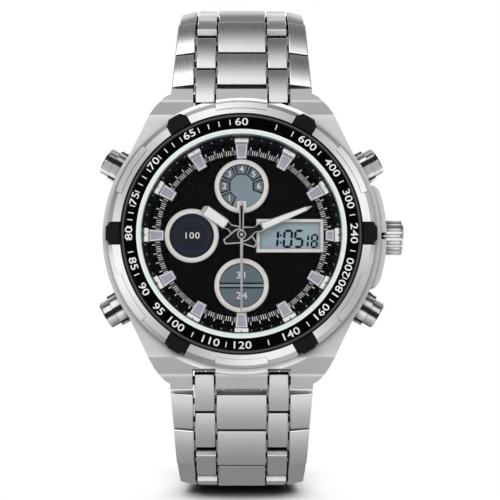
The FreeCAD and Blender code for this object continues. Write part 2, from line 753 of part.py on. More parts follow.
def bar(flat_end, pivot, x_low, x_high):
    """One piece of a link: arched on top, square at one end, round below at its pivot."""
    sign = 1 if pivot > flat_end else -1
    reach = pivot + sign * link_half
    corner = math.sin(math.pi / 4) * link_half
    shoulder = LINK_ARCH - link_half

    def at(y, z):
        return Vector(x_low, y, z)

    crest = at(-link_half, (flat_end + reach) / 2)
    edges = [Part.makeLine(at(link_half, flat_end), at(shoulder, flat_end)),
             Part.Arc(at(shoulder, flat_end), crest, at(shoulder, reach)).toShape(),
             Part.makeLine(at(shoulder, reach), at(0, reach)),
             Part.Arc(at(0, reach), at(corner, pivot + sign * corner), at(link_half, pivot)).toShape(),
             Part.makeLine(at(link_half, pivot), at(link_half, flat_end))]
    return Part.Face(Part.Wire(edges)).extrude(Vector(x_high - x_low, 0, 0))


def sloped(piece, z_range, x_range):
    """Let the arched top of an outer piece fall away towards the band's edge."""
    z_low, z_high = z_range
    x_low, x_high = x_range
    half_chord = (z_high - z_low) / 2
    arch_radius = (half_chord ** 2 + LINK_ARCH ** 2) / (2 * LINK_ARCH)
    middle = (z_low + z_high) / 2
    reach = half_chord + OVERCUT
    crest = INNER_FALL - link_half
    spring = crest + arch_radius - math.sqrt(arch_radius ** 2 - reach ** 2)
    start = x_low - 2 * OVERCUT
    run = x_high - x_low + 4 * OVERCUT

    def at(y, z):
        return Vector(start, y, z)

    edges = [Part.makeLine(at(FAR, middle - reach), at(spring, middle - reach)),
             Part.Arc(at(spring, middle - reach), at(crest, middle), at(spring, middle + reach)).toShape(),
             Part.makeLine(at(spring, middle + reach), at(FAR, middle + reach)),
             Part.makeLine(at(FAR, middle + reach), at(FAR, middle - reach))]
    tool = Part.Face(Part.Wire(edges)).extrude(Vector(run, 0, 0))
    tilt = math.atan2(OUTER_FALL - INNER_FALL, x_high - x_low)
    tool.rotate(Vector(x_low, crest, 0), ALONG_Z, math.degrees(tilt))
    return piece.common(tool)


def pin_at(z, radius, half):
    return rod(radius, 0, z, -half, half)


def tapered(piece, row, z_range):
    """Trim the outer side of an outer piece to the taper of the band."""
    z_low, z_high = z_range
    corners = [(0, z_low), (0, z_high), (band_half(row), z_high), (band_half(row - 1), z_low)]
    return piece.common(plate(corners, -FAR, FAR))


def make_link(index):
    """One link: three wide pieces, two narrow ones and a fixed pin, then its pivot pin."""
    row = index + 1
    length = link_lengths[index]
    first = index == 0
    row_start = link_half + LINK_GAP + (FIRST_LINK_EXTRA if first else 0.0)
    narrow_end = length - link_half - LINK_GAP
    middle = (row_start + narrow_end) / 2
    pin_half = outer_start(row) + PIN_GRIP
    bore = (LUG_BAR_RADIUS if first else PIN_RADIUS) + PIN_RUNNING_GAP
    fixed_pin = pin_at(middle, PIN_RADIUS, pin_half)
    pivot_pin = pin_at(length, PIN_RADIUS, pin_half)
    short_pin = pin_at(length, PIN_RADIUS, centre_half(row) - PIN_INSET)
    holes = [fixed_pin, pivot_pin]
    centre = bar(row_start, length, -centre_half(row), centre_half(row))
    centre = centre.makeFillet(LINK_BEVEL, far_face_edges(centre, -ALONG_Y))
    z_range = (row_start, length + link_half)
    outer = bar(row_start, length, outer_start(row), band_half(row - 1) + OVERCUT)
    outer = sloped(outer, z_range, (outer_start(row), band_half(row - 1)))
    outer = tapered(outer, row, z_range)
    outer = outer.makeFillet(LINK_BEVEL, far_face_edges(outer, -ALONG_Y))
    narrow = bar(narrow_end, 0.0, centre_half(row - 1) + SIDE_GAP, outer_start(row) - SIDE_GAP)
    narrow = narrow.makeFillet(LINK_BEVEL, far_face_edges(narrow, -ALONG_Y))
    outer = outer.cut(holes)
    narrow = narrow.cut([fixed_pin, pin_at(0.0, bore, FAR)])
    pieces = [centre.cut(holes), outer, narrow]
    pieces += [piece.mirror(ORIGIN, ALONG_X) for piece in (outer, narrow)]
    pieces = [set_in_band(piece, index) for piece in pieces + [fixed_pin]]
    return pieces, set_in_band(pivot_pin, index), set_in_band(short_pin, index)


def mirrored(shapes):
    return [shape.mirror(ORIGIN, ALONG_Z) for shape in shapes]


# The clasp bends about a centre line that passes through both ends of the band
clasp_radius = (band_end_z ** 2 + CLASP_SAGITTA ** 2) / (2 * CLASP_SAGITTA)
clasp_centre_y = band_end_y + CLASP_SAGITTA - clasp_radius
base_inner = clasp_radius - link_half
base_outer = base_inner + LEAF_THICKNESS
blade_inner = base_outer + LEAF_GAP
blade_outer = blade_inner + LEAF_THICKNESS
cover_inner = blade_outer + LEAF_GAP
cover_outer = cover_inner + COVER_THICKNESS
base_hinge_radius = base_inner + HINGE_RADIUS
cover_hinge_radius = cover_outer - HINGE_RADIUS
latch_inner = cover_outer + HINGE_GAP / 2
latch_outer = latch_inner + LATCH_THICKNESS


def clasp_point(radius, z):
    return clasp_centre_y + math.sqrt(radius ** 2 - z ** 2), z


def leaf(inner, outer, z_low, z_high, x_low, x_high):
    """A curved leaf of the clasp between two radii and two heights."""
    z_mid = (z_low + z_high) / 2

    def at(radius, z):
        y, z = clasp_point(radius, z)
        return Vector(x_low, y, z)

    edges = [Part.Arc(at(inner, z_low), at(inner, z_mid), at(inner, z_high)).toShape(),
             Part.makeLine(at(inner, z_high), at(outer, z_high)),
             Part.Arc(at(outer, z_high), at(outer, z_mid), at(outer, z_low)).toShape(),
             Part.makeLine(at(outer, z_low), at(inner, z_low))]
    return Part.Face(Part.Wire(edges)).extrude(Vector(x_high - x_low, 0, 0))


def hinge_rod(spot, radius, half):
    return rod(radius, spot[0], spot[1], -half, half)


# Hinge lines of the clasp
blade_start = band_end_z - BASE_HINGE_INSET
blade_end = band_end_z - COVER_HINGE_INSET
base_hinge = clasp_point(base_hinge_radius, -blade_start)
cover_hinge = clasp_point(cover_hinge_radius, blade_end)
latch_hinge = clasp_point(cover_inner, LATCH_START)
hinge_room = HINGE_RADIUS + HINGE_GAP
tongue_room = HINGE_TONGUE_HALF + HINGE_GAP


def end_knuckles(end, reach_radius):
    """Two knuckles that enter the last row of the band, joined to a leaf."""
    low = centre_half(len(LINK_HEADINGS)) + SIDE_GAP
    high = outer_start(len(LINK_HEADINGS)) - SIDE_GAP
    y, z = band_end_y, end * band_end_z
    arm_z = z - end * (link_half + LINK_GAP + KNUCKLE_ARM)
    inner_y = clasp_point(reach_radius, arm_z)[0]
    outer_y = clasp_point(reach_radius + LEAF_THICKNESS, arm_z)[0]
    knuckles = []
    for side in (-1, 1):
        x_low, x_high = sorted((side * low, side * high))
        barrel = rod(link_half, y, z, x_low, x_high)
        near = [(y - KNUCKLE_ROOT, z), (y + KNUCKLE_ROOT, z)]
        arm = across(near + [(outer_y, arm_z), (inner_y, arm_z)], x_low, x_high)
        knuckles.append(fused([barrel, arm]))
    return knuckles


def make_base_plate():
    top = band_end_z - link_half - LINK_GAP
    body = leaf(base_inner, base_outer, -blade_start, top, -LEAF_HALF_WIDTH, LEAF_HALF_WIDTH)
    barrels = [hinge_rod(base_hinge, HINGE_RADIUS, LEAF_HALF_WIDTH)]
    body = fused([body] + barrels + end_knuckles(1, base_inner))
    room = rod(hinge_room, base_hinge[0], base_hinge[1], -tongue_room, tongue_room)
    bore = hinge_rod(base_hinge, HINGE_PIN_RADIUS, FAR)
    last_pin = rod(PIN_RADIUS + PIN_RUNNING_GAP, band_end_y, band_end_z, -FAR, FAR)
    pin = hinge_rod(base_hinge, HINGE_PIN_RADIUS, LEAF_HALF_WIDTH - PIN_INSET)
    return [body.cut([room, bore, last_pin]), pin]


def make_blade():
    body = leaf(blade_inner, blade_outer, -blade_start, blade_end, -LEAF_HALF_WIDTH, LEAF_HALF_WIDTH)
    rooms = []
    for hinge in (base_hinge, cover_hinge):
        for side in (-1, 1):
            x_low, x_high = sorted((side * HINGE_TONGUE_HALF, side * FAR))
            rooms.append(rod(hinge_room, hinge[0], hinge[1], x_low, x_high))
    body = body.cut(rooms)
    hinges = (base_hinge, cover_hinge)
    tongues = [hinge_rod(hinge, HINGE_RADIUS, HINGE_TONGUE_HALF) for hinge in hinges]
    body = fused([body] + tongues)
    return body.cut([hinge_rod(hinge, HINGE_PIN_RADIUS + HINGE_GAP / 2, FAR) for hinge in hinges])


def make_cover():
    half = band_half(len(LINK_HEADINGS))
    low = -(band_end_z - link_half - COVER_END_GAP)
    body = leaf(cover_inner, cover_outer, low, blade_end, -half, half)
    skirts = []
    for side in (-1, 1):
        x_low, x_high = sorted((side * (half - COVER_SKIRT), side * half))
        skirts.append(leaf(base_inner, cover_inner, low, blade_end, x_low, x_high))
    barrel = hinge_rod(cover_hinge, HINGE_RADIUS, half)
    body = fused([body, barrel] + skirts + end_knuckles(-1, cover_inner))
    room = rod(hinge_room, cover_hinge[0], cover_hinge[1], -tongue_room, tongue_room)
    bore = hinge_rod(cover_hinge, HINGE_PIN_RADIUS, FAR)
    last_pin = rod(PIN_RADIUS + PIN_RUNNING_GAP, band_end_y, -band_end_z, -FAR, FAR)
    latch_bore = hinge_rod(latch_hinge, HINGE_PIN_RADIUS + HINGE_GAP / 2, FAR)
    latch_bore = latch_bore.cut(hinge_rod(latch_hinge, FAR, half - COVER_SKIRT))
    pin = hinge_rod(cover_hinge, HINGE_PIN_RADIUS, half - PIN_INSET)
    return [body.cut([room, bore, last_pin, latch_bore]), pin]


def make_latch():
    """A strap over the cover, with a tab and a hinge pin at each side."""
    cover_half = band_half(len(LINK_HEADINGS))
    half = cover_half + HINGE_GAP
    wide = half + LATCH_THICKNESS
    parts = [leaf(latch_inner, latch_outer, LATCH_START + LATCH_LEAD, LATCH_END, -wide, wide)]
    for side in (-1, 1):
        x_low, x_high = sorted((side * half, side * wide))
        parts.append(leaf(latch_inner - LATCH_TAB_DROP, latch_outer, LATCH_START, LATCH_END, x_low, x_high))
        parts.append(rod(LATCH_BOSS, *latch_hinge, x_low, x_high))
        pin_low, pin_high = sorted((side * (cover_half - COVER_SKIRT + HINGE_GAP), side * wide))
        parts.append(rod(HINGE_PIN_RADIUS, *latch_hinge, pin_low, pin_high))
    return fused(parts)


def main():
    os.makedirs("parts", exist_ok=True)
    write("case_middle", [make_case()])
    write("lug_bars", [rod(LUG_BAR_RADIUS, -LUG_DEPTH, end * LUG_SPAN, -LUG_BAR_HALF, LUG_BAR_HALF)
                       for end in (-1, 1)])
    write("case_back", [make_case_back()])
    write("back_gasket", [make_back_gasket()])
    write("bezel", [make_bezel()])
    write("bezel_studs", make_studs())
    write("scale_ring", [make_scale_ring()])
    write("crystal", [make_crystal()])
    write("crystal_gasket", [make_crystal_gasket()])
    write("flange_ring", [make_flange()])
    write("dial", [make_dial()])
    write("subdial_rings", make_subdial_rings())
    write("subdial_discs", make_subdial_discs())
    write("display_frame", [make_display_frame()])
    write("display_panel", [make_panel()])
    write("hour_markers", make_markers())
    write("button_tubes", make_tubes())
    write("module_frame", [make_module()])
    write("circuit_board", [make_board()])
    write("coin_cell", [make_cell()])
    write("drive_coil", [make_coil()])
    hour_hand, hour_lume = make_hour_hand()
    minute_hand, minute_lume = make_minute_hand()
    write("hour_hand", [hour_hand])
    write("hour_lume", [hour_lume])
    write("minute_hand", [minute_hand])
    write("minute_lume", [minute_lume])
    write("seconds_hand", [make_seconds_hand()])
    hour_bore = MINUTE_TUBE + ARBOR_GAP
    minute_bore = SECONDS_ARBOR + ARBOR_GAP
    write("hour_wheel", [make_wheel(HOUR_TUBE, hour_bore, hour_level - HAND_THICKNESS, hour_wheel_front,
                                    hour_wheel_front + WHEEL_THICKNESS)])
    write("minute_wheel", [make_wheel(MINUTE_TUBE, minute_bore, minute_level - HAND_THICKNESS,
                                      minute_wheel_front, minute_wheel_front + WHEEL_THICKNESS)])
    write("seconds_wheel", [make_wheel(SECONDS_ARBOR, 0, seconds_level - HAND_THICKNESS,
                                       seconds_wheel_front, arbor_end - POCKET_GAP)])
    write("crown", [make_crown()])
    write("crown_stem", [make_stem()])
    write("crown_seal", [make_seal()])
    for name, angle in PUSHER_ANGLES.items():
        write(name, [make_pusher(angle)])
    last = len(LINK_HEADINGS) - 1
    for index in range(len(LINK_HEADINGS)):
        pieces, pivot_pin, short_pin = make_link(index)
        write("link_12_%02d" % (index + 1), pieces + [pivot_pin])
        write("link_6_%02d" % (index + 1), mirrored(pieces + [short_pin if index == last else pivot_pin]))
    write("clasp_base", make_base_plate())
    write("clasp_blade", [make_blade()])
    write("clasp_cover", make_cover())
    write("clasp_latch", [make_latch()])
    for index, (y, z) in enumerate(pivots):
        print("pivot %2d  y %9.4f  z %9.4f" % (index, y, z))
    hinges = {"base_hinge": base_hinge, "cover_hinge": cover_hinge, "latch_hinge": latch_hinge}
    for name, spot in hinges.items():
        print("%-12s y %9.4f  z %9.4f" % (name, *spot))


main()
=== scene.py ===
# %% [markdown]
# # A steel ana-digi wristwatch
#
# A watch with hands and a small digital display is mostly metal, glass and fine printing.
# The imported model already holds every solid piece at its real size. This lesson is about finish:
# brushed and polished steel, black lacquer, printed ticks and numbers, luminous hands and a
# liquid crystal display. The watch stands with its dial facing -Y and 12 o'clock along +Z.

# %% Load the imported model
import bmesh
import bpy
import math
from mathutils import Matrix, Vector


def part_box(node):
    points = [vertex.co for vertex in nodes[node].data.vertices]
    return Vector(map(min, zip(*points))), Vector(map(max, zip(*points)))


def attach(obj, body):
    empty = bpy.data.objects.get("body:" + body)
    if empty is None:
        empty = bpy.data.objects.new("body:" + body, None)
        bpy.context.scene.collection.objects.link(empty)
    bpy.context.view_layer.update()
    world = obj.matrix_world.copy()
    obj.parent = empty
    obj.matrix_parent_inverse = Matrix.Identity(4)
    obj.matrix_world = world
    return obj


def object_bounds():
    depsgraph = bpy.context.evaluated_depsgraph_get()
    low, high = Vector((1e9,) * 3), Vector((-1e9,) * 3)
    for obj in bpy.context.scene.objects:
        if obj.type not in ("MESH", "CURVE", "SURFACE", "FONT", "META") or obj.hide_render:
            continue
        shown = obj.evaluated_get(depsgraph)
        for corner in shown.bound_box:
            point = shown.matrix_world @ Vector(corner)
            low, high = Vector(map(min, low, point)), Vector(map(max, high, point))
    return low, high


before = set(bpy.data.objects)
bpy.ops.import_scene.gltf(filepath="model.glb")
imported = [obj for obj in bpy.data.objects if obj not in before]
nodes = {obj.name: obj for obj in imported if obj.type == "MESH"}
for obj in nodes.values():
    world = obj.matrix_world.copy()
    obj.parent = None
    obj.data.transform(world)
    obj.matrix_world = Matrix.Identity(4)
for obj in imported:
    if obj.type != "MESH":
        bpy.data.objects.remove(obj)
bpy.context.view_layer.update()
MM = 0.001
print("the packed model has", len(nodes), "nodes")

# %% [markdown]
# ## Depths read from the model
#
# Print and enamel lie on a real surface. Their depth could be typed as a number, but it would be
# wrong as soon as the dial moved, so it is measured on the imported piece. The front of a piece is
# its lowest Y, because the dial looks along -Y.

# %% Depths of the dial and its neighbours


def front_of(node):
    """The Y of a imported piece's front."""
    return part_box(node)[0].y


MARKER_RISE = 0.6 * MM
dial_front = front_of("dial")
scale_front = front_of("scale_ring")
marker_front = dial_front - MARKER_RISE
panel_front = front_of("display_panel")
disc_front = front_of("subdial_discs")
flange_front = front_of("flange_ring")
print("dial front at y = %.2f mm, scale front at %.2f mm" % (dial_front / MM, scale_front / MM))

# %% [markdown]
# ## Shader maths as plain Python
#
# A pattern such as a brushed grain is a sum of noises and steps. In the node editor it becomes a
# web that is hard to read. One small class wraps a socket and lets Python's own operators add the
# Math nodes, so that a formula stays a formula.

# %% A socket that can be added and multiplied


class Wire:
    """A value in a node tree that takes part in ordinary arithmetic."""

    def __init__(self, tree, socket):
        self.tree = tree
        self.socket = socket

    def join(self, operation, *others):
        """A Math node with this value in its first socket."""
        values = dict(enumerate((self, *others)))
        return self.tree.add("ShaderNodeMath", {"operation": operation}, values)

    def __add__(self, other):
        return self.join("ADD", other)

    def __radd__(self, other):
        return self.join("ADD", other)

    def __sub__(self, other):
        return self.join("SUBTRACT", other)

    def __rsub__(self, other):
        return self.join("MULTIPLY", -1.0).join("ADD", other)

    def __mul__(self, other):
        return self.join("MULTIPLY", other)

    def __rmul__(self, other):
        return self.join("MULTIPLY", other)

    def absolute(self):
        return self.join("ABSOLUTE")


print("a wire adds, subtracts and multiplies")

# %% [markdown]
# ## One method for every other node
#
# The other nodes are wanted by type, with a few settings and a few values or links. One method that
# takes these three makes all of them. The short methods below it name what a finish asks for most:
# a place on the piece, a noise, a share between two limits, a colour ramp and a mix of two colours.

# %% A node tree written as a recipe


class Recipe:
    """A node tree, built by one method."""

    def __init__(self, tree):
        self.nodes = tree.nodes
        self.links = tree.links
        self.nodes.clear()

    def put(self, socket, value):
        if isinstance(value, Wire):
            self.links.new(value.socket, socket)
        else:
            socket.default_value = value

    def add(self, kind, settings=None, values=None, output=0):
        """A node of a kind: its settings first, then the values or links of its sockets."""
        node = self.nodes.new(kind)
        for name, value in (settings or {}).items():
            if name == "stops":
                self.set_stops(node.color_ramp, value)
            else:
                setattr(node, name, value)
        for key, value in (values or {}).items():
            self.put(node.inputs[key], value)
        return Wire(self, node.outputs[output]) if node.outputs else node

    def set_stops(self, ramp, stops):
        while len(ramp.elements) < len(stops):
            ramp.elements.new(1.0)
        for element, (position, colour) in zip(ramp.elements, stops):
            element.position = position
            element.color = rgba(colour)

    def mix_colours(self, factor, first, second):
        values = {0: factor, 6: first, 7: second}
        return self.add("ShaderNodeMix", {"data_type": "RGBA"}, values, output=2)

    def place(self, scale=(1.0, 1.0, 1.0)):
        """Object coordinates, stretched."""
        spot = self.add("ShaderNodeTexCoord", output=3)
        return self.add("ShaderNodeMapping", {}, {"Vector": spot, "Scale": scale})

    def axis(self, index):
        """One Object coordinate: 0 is X, 1 is Y and 2 is Z."""
        return self.add("ShaderNodeSeparateXYZ", {}, {0: self.place()}, output=index)

    def noise(self, where, scale, detail):
        values = {"Vector": where, "Scale": scale, "Detail": detail}
        return self.add("ShaderNodeTexNoise", {}, values)

    def share(self, value, low, high, first=0.0, last=1.0):
        """From first to last as a value goes from low to high, and no further."""
        limits = {"Value": value, 1: low, 2: high, 3: first, 4: last}
        return self.add("ShaderNodeMapRange", {"clamp": True}, limits)

    def ramp(self, factor, stops):
        return self.add("ShaderNodeValToRGB", {"stops": stops}, {0: factor})

    def openness(self, distance, samples):
        """How open the surface is around a point: low in a narrow gap, 1 in the open."""
        settings = {"samples": samples}
        return self.add("ShaderNodeAmbientOcclusion", settings, {"Distance": distance}, output=1)


def rgba(colour):
    return (*colour, 1.0)


def grey(tone):
    return (tone, tone, tone)


print("a recipe adds any node by its type")

# %% [markdown]
# ## A finish
#
# Nearly every surface of the watch is one Principled shader with a colour, a roughness, and often a
# low bump. These could be set by hand for each material. A function that takes them as short
# functions of the recipe keeps each finish to a few lines.

# %% A material from a colour, a roughness and a bump


def finish_of(name, colour, roughness, metallic=0.0, bump=None, extras=None):
    """A Principled material; colour, bump and, where it varies, roughness are functions of a recipe."""
    material = bpy.data.materials.new(name)
    material.use_nodes = True
    recipe = Recipe(material.node_tree)
    values = {"Base Color": colour(recipe), "Metallic": metallic}
    values["Roughness"] = roughness(recipe) if callable(roughness) else roughness
    values.update(extras or {})
    if bump:
        height, strength, distance = bump(recipe)
        raised = {"Height": height, "Strength": strength, "Distance": distance}
        values["Normal"] = recipe.add("ShaderNodeBump", {}, raised)
    shader = recipe.add("ShaderNodeBsdfPrincipled", {}, values)
    recipe.add("ShaderNodeOutputMaterial", {}, {"Surface": shader})
    return material


def gloss(level):
    """How strongly a surface that isn't metal mirrors."""
    return {"Specular IOR Level": level}


print("a finish is a colour, a roughness and a bump")

# %% [markdown]
# ## The grain of steel
#
# A brush leaves fine grooves all in one direction. A picture of scratches could be laid on the
# metal, but a noise that is stretched many times along that direction does the same at any size.
# The grain changes colour and roughness a little, and a very low bump catches the light. In the
# narrow gaps between links no light arrives, so a painted shade darkens the steel's colour where its
# surface is hemmed in.

# %% Steel with a grain
GRAIN_DETAIL = 4.0
GRAIN_COLOUR = 0.5
CLOUD_COLOUR = 0.6
CLOUD_SCALE = 90.0
SMEAR_SCALE = 140.0
SMEAR_SHARE = 0.08
DARK_SHARE = 0.93
GROOVE_DEPTH = 0.02 * MM
GAP_SHADE_REACH = 2.0 * MM
GAP_SHADE_SAMPLES = 8
GAP_SHADE_CLOSED = 0.36
GAP_SHADE_OPEN = 0.70
GAP_SHADE_BLACK = rgba((0.010, 0.010, 0.011))


def steel(name, shade, base_roughness, grain_scale, grain_share, groove, paint=None):
    """Steel: the smallest number of grain_scale is the direction in which it was brushed."""

    def grain(recipe):
        return recipe.noise(recipe.place(grain_scale), 1.0, GRAIN_DETAIL)

    def colour(recipe):
        cloud = recipe.noise(recipe.place(), CLOUD_SCALE, 2.0)
        mask = (grain(recipe) - 0.5) * GRAIN_COLOUR + cloud * CLOUD_COLOUR
        dark = tuple(part * DARK_SHARE for part in shade)
        plain = recipe.mix_colours(mask, rgba(dark), rgba(shade))
        if paint:
            plain = paint(recipe, plain)
        # Painted shade: the colour turns black where ambient occlusion finds the surface hemmed in by a
        # narrow gap.
        unshaded = recipe.share(recipe.openness(GAP_SHADE_REACH, GAP_SHADE_SAMPLES), GAP_SHADE_CLOSED, GAP_SHADE_OPEN)
        return recipe.mix_colours(unshaded, GAP_SHADE_BLACK, plain)

    def roughness(recipe):
        smear = recipe.noise(recipe.place(), SMEAR_SCALE, 3.0)
        return (grain(recipe) - 0.5) * grain_share + (smear - 0.5) * SMEAR_SHARE + base_roughness

    def bump(recipe):
        return grain(recipe), groove, GROOVE_DEPTH

    return finish_of(name, colour, roughness, 1.0, bump)


print("steel darkens in gaps under %.1f mm" % (GAP_SHADE_REACH / MM))

# %% [markdown]
# ## Colours by a measured length
#
# Rings on a dial are lines at a radius, and bands on a barrel are lines at a height. Both are a
# colour for each length in millimetres, so one function turns a list of lengths and colours into
# the positions of a colour ramp, and another measures the distance from the axis of the dial.

# %% Ramps in millimetres
PAINT_BLACK = rgba(grey(0.012))


def by_length(recipe, value, low, high, stops):
    """A colour for each length in millimetres between two limits."""
    placed = [((at - low) / (high - low), colour) for at, colour in stops]
    return recipe.ramp(recipe.share(value, low * MM, high * MM), placed)


def radial(recipe, inner, outer, stops):
    """A colour for each distance from the axis of the dial."""
    flat = recipe.place((1.0, 0.0, 1.0))
    radius = recipe.add("ShaderNodeVectorMath", {"operation": "LENGTH"}, {0: flat}, output=1)
    return by_length(recipe, radius, inner, outer, stops)


print("ramps are given in millimetres")

# %% [markdown]
# ## Bezel, case and pushers
#
# A face turned on a lathe shines in fans, a case in a bright tent takes an even grey, and a polished
# barrel mirrors the room in bright and black bands. Real mirrors of a room would need the room, and
# a small change of angle would lose the bands. So all of it is painted light, laid into the colour
# of the metal instead: painted reflections in fans on the bezel and in bands on the pushers, painted
# shade on the flat front of the case, and a painted shade in the groove between bezel and scale. It
# holds in every view and comes along when the model is exported.

# %% Painted reflections on the bezel and the pushers, painted shade on the case
SHEEN_FANS = 4.0
SHEEN_FAN_TURN = math.radians(60.0)
SHEEN_FAN_DARK = rgba((0.46, 0.46, 0.47))
BEZEL_GROOVE_SHADE = [(19.9, grey(0.0)), (20.38, grey(0.0)), (20.46, grey(1.0)), (20.9, grey(1.0))]
LUG_REACH = 26.0
LUG_SHADE_TONES = [(0.0, 0.58), (19.4, 0.58), (20.58, 0.66), (20.64, 1.0), (23.5, 1.0), (23.9, 0.72),
             (LUG_REACH, 0.72)]
BARREL_RADIUS = 2.6
BARREL_TURN = math.radians(60.0)
BARREL_REFLECTION_TONES = [(0.0, 1.0), (0.01, 0.02), (0.06, 0.02), (0.09, 0.95), (0.15, 0.95), (0.19, 0.50),
                (0.45, 0.42), (0.48, 0.01), (0.62, 0.01), (0.70, 1.0), (0.92, 1.0), (0.94, 0.02),
                (0.99, 0.02), (1.0, 1.0)]


def turned_shine(recipe, plain):
    """Painted reflection in fans round the bezel, and painted shade as a black line in the groove between it
    and the scale.
    """
    angle = recipe.axis(0).join("ARCTAN2", recipe.axis(2))
    # Painted reflection: the colour brightens and darkens in fans round the axis.
    sheen_fan = (angle * SHEEN_FANS + SHEEN_FAN_TURN).join("COSINE")
    with_sheen = recipe.mix_colours(sheen_fan * 0.5 + 0.5, SHEEN_FAN_DARK, plain)
    # Painted shade: a black line in the groove where the bezel meets the scale.
    groove = radial(recipe, 19.9, 20.9, BEZEL_GROOVE_SHADE)
    return recipe.mix_colours(groove, PAINT_BLACK, with_sheen)


def lug_shade(recipe, plain):
    """Painted shade: the colour of the flat front of the case is held back and the lug slopes are not, so
    both look alike.
    """
    stops = [(at, grey(tone)) for at, tone in LUG_SHADE_TONES]
    shade_levels = by_length(recipe, recipe.axis(2).absolute(), 0.0, LUG_REACH, stops)
    return recipe.mix_colours(shade_levels, PAINT_BLACK, plain)


def barrel_shine(recipe, plain):
    """Painted reflection in bands along a pusher, alike on all four, because X and Z count without their
    signs.
    """
    up_share = recipe.axis(2).absolute() * math.sin(BARREL_TURN)
    across = up_share - recipe.axis(0).absolute() * math.cos(BARREL_TURN)
    stops = [(BARREL_RADIUS * (2.0 * at - 1.0), grey(tone)) for at, tone in BARREL_REFLECTION_TONES]
    # Painted reflection: bright and black bands across the pusher.
    reflection_bands = by_length(recipe, across, -BARREL_RADIUS, BARREL_RADIUS, stops)
    return recipe.mix_colours(reflection_bands, PAINT_BLACK, plain)


print(len(BARREL_REFLECTION_TONES), "tones across a pusher")

# %% [markdown]
# ## Six kinds of steel
#
# The case and the clasp are satin, with a grain across the watch. The band has a grain along its
# length and shines more. The bezel, the pushers, the crown and the pins are polished, where only
# faint waves and hairlines remain. One function with other numbers makes all six.

# %% Steel finishes
ACROSS = (300.0, 300.0, 9000.0)
ALONG_BAND = (6000.0, 500.0, 500.0)
LATHE = (500.0, 6000.0, 500.0)
BUFFED = (700.0, 700.0, 700.0)
# The case's steel starts almost white in colour, and a painted shade takes its flat front down to an even
# grey.
steel_case = steel("satin_steel_case", grey(0.98), 0.46, ACROSS, 0.16, 0.2, lug_shade)
steel_back = steel("satin_steel_back", grey(0.72), 0.46, ACROSS, 0.16, 0.2)
steel_links = steel("satin_steel_links", grey(0.78), 0.26, ALONG_BAND, 0.12, 0.12)
steel_bright = steel("polished_steel", (0.90, 0.90, 0.91), 0.08, BUFFED, 0.05, 0.03)
# The bezel and the pushers carry painted reflections in their colour.
steel_bezel = steel("polished_bezel", (0.95, 0.95, 0.96), 0.20, LATHE, 0.08, 0.06, turned_shine)
steel_barrel = steel("polished_barrel", (0.96, 0.96, 0.97), 0.14, BUFFED, 0.05, 0.03, barrel_shine)
print("six steel finishes")

# %% [markdown]
# ## Finishes that are not steel
#
# Lacquer, moulded plastic, enamel and cast brass are never one flat colour. A noise drifts between
# two close shades, and roughness and a faint bump go with it. The studs and the dial are black
# lacquer, the hands are silvered, and the markers are chromed and filled with enamel.

# %% A mottled finish, and the black, white and silver ones
BUMP_FINER = 12
BUMP_STRENGTH = 0.15


def mottled(name, first, second, scale, roughness, spread, metallic=0.0, depth=0.01 * MM, extras=None):
    """A colour that drifts between two close shades, with roughness and a faint bump."""

    def cloud(recipe):
        return recipe.noise(recipe.place(), scale, 4.0)

    def colour(recipe):
        return recipe.mix_colours(cloud(recipe), rgba(first), rgba(second))

    def rough(recipe):
        return (cloud(recipe) - 0.5) * spread + roughness

    def bump(recipe):
        return recipe.noise(recipe.place(), scale * BUMP_FINER, 2.0), BUMP_STRENGTH, depth

    return finish_of(name, colour, rough, metallic, bump, extras)


black_studs = mottled("black_studs", (0.002, 0.002, 0.003), (0.004, 0.004, 0.005), 300, 0.25, 0.1,
                      extras=gloss(0.12))
dial_black = mottled("dial_black", (0.001, 0.001, 0.002), (0.002, 0.002, 0.003), 500, 0.4, 0.1,
                     extras=gloss(0.0))
flange_black = mottled("flange_black", (0.002, 0.003, 0.006), (0.004, 0.006, 0.012), 300, 0.3, 0.08,
                       extras=gloss(0.15))
hand_black = mottled("hand_black", grey(0.002), (0.004, 0.004, 0.005), 600, 0.3, 0.1, extras=gloss(0.1))
print_white = mottled("print_white", grey(0.82), grey(0.90), 900, 0.5, 0.1)
print_cream = mottled("ring_cream", (0.78, 0.75, 0.71), (0.93, 0.91, 0.88), 700, 0.3, 0.1)
lume_white = mottled("lume_white", (0.95, 0.95, 0.93), (0.99, 0.99, 0.97), 1500, 0.6, 0.1, depth=0.03 * MM)
hand_silver = mottled("hand_silver", (0.42, 0.41, 0.40), (0.52, 0.51, 0.50), 900, 0.2, 0.1, 1.0)
marker_chrome = mottled("marker_chrome", (0.92, 0.92, 0.94), (0.98, 0.98, 0.99), 800, 0.2, 0.08, 1.0)
marker_fill = mottled("marker_fill", (0.34, 0.34, 0.41), (0.52, 0.51, 0.60), 500, 0.32, 0.1, 0.3)
print("ten finishes for the dial and the hands")

# %% [markdown]
# ## The scale ring and the pale gasket
#
# The scale ring is black with a grey bevel at its rim, and the gasket of the crystal is a pale
# green-white ring with a grey edge at each side, which is painted shade. Thin extra rings would do
# it, but both change with the radius alone, so the radial ramp paints them on the one piece.

# %% Colours by radius
SCALE_STOPS = [(19.0, grey(0.002)), (19.66, grey(0.002)), (19.76, grey(0.04)), (20.08, grey(0.11)),
               (20.12, grey(0.01))]
# The grey at both edges of the gasket is painted shade; the green-white between is its colour.
GASKET_TONES_AND_SHADE = [(16.86, (0.30, 0.33, 0.33)), (16.96, (0.86, 0.93, 0.91)), (17.2, (0.70, 0.80, 0.76)),
                (17.4, (0.84, 0.92, 0.89)), (17.62, (0.80, 0.88, 0.85)), (17.72, (0.20, 0.22, 0.22))]


def scale_colour(recipe):
    return radial(recipe, 19.0, 20.2, SCALE_STOPS)


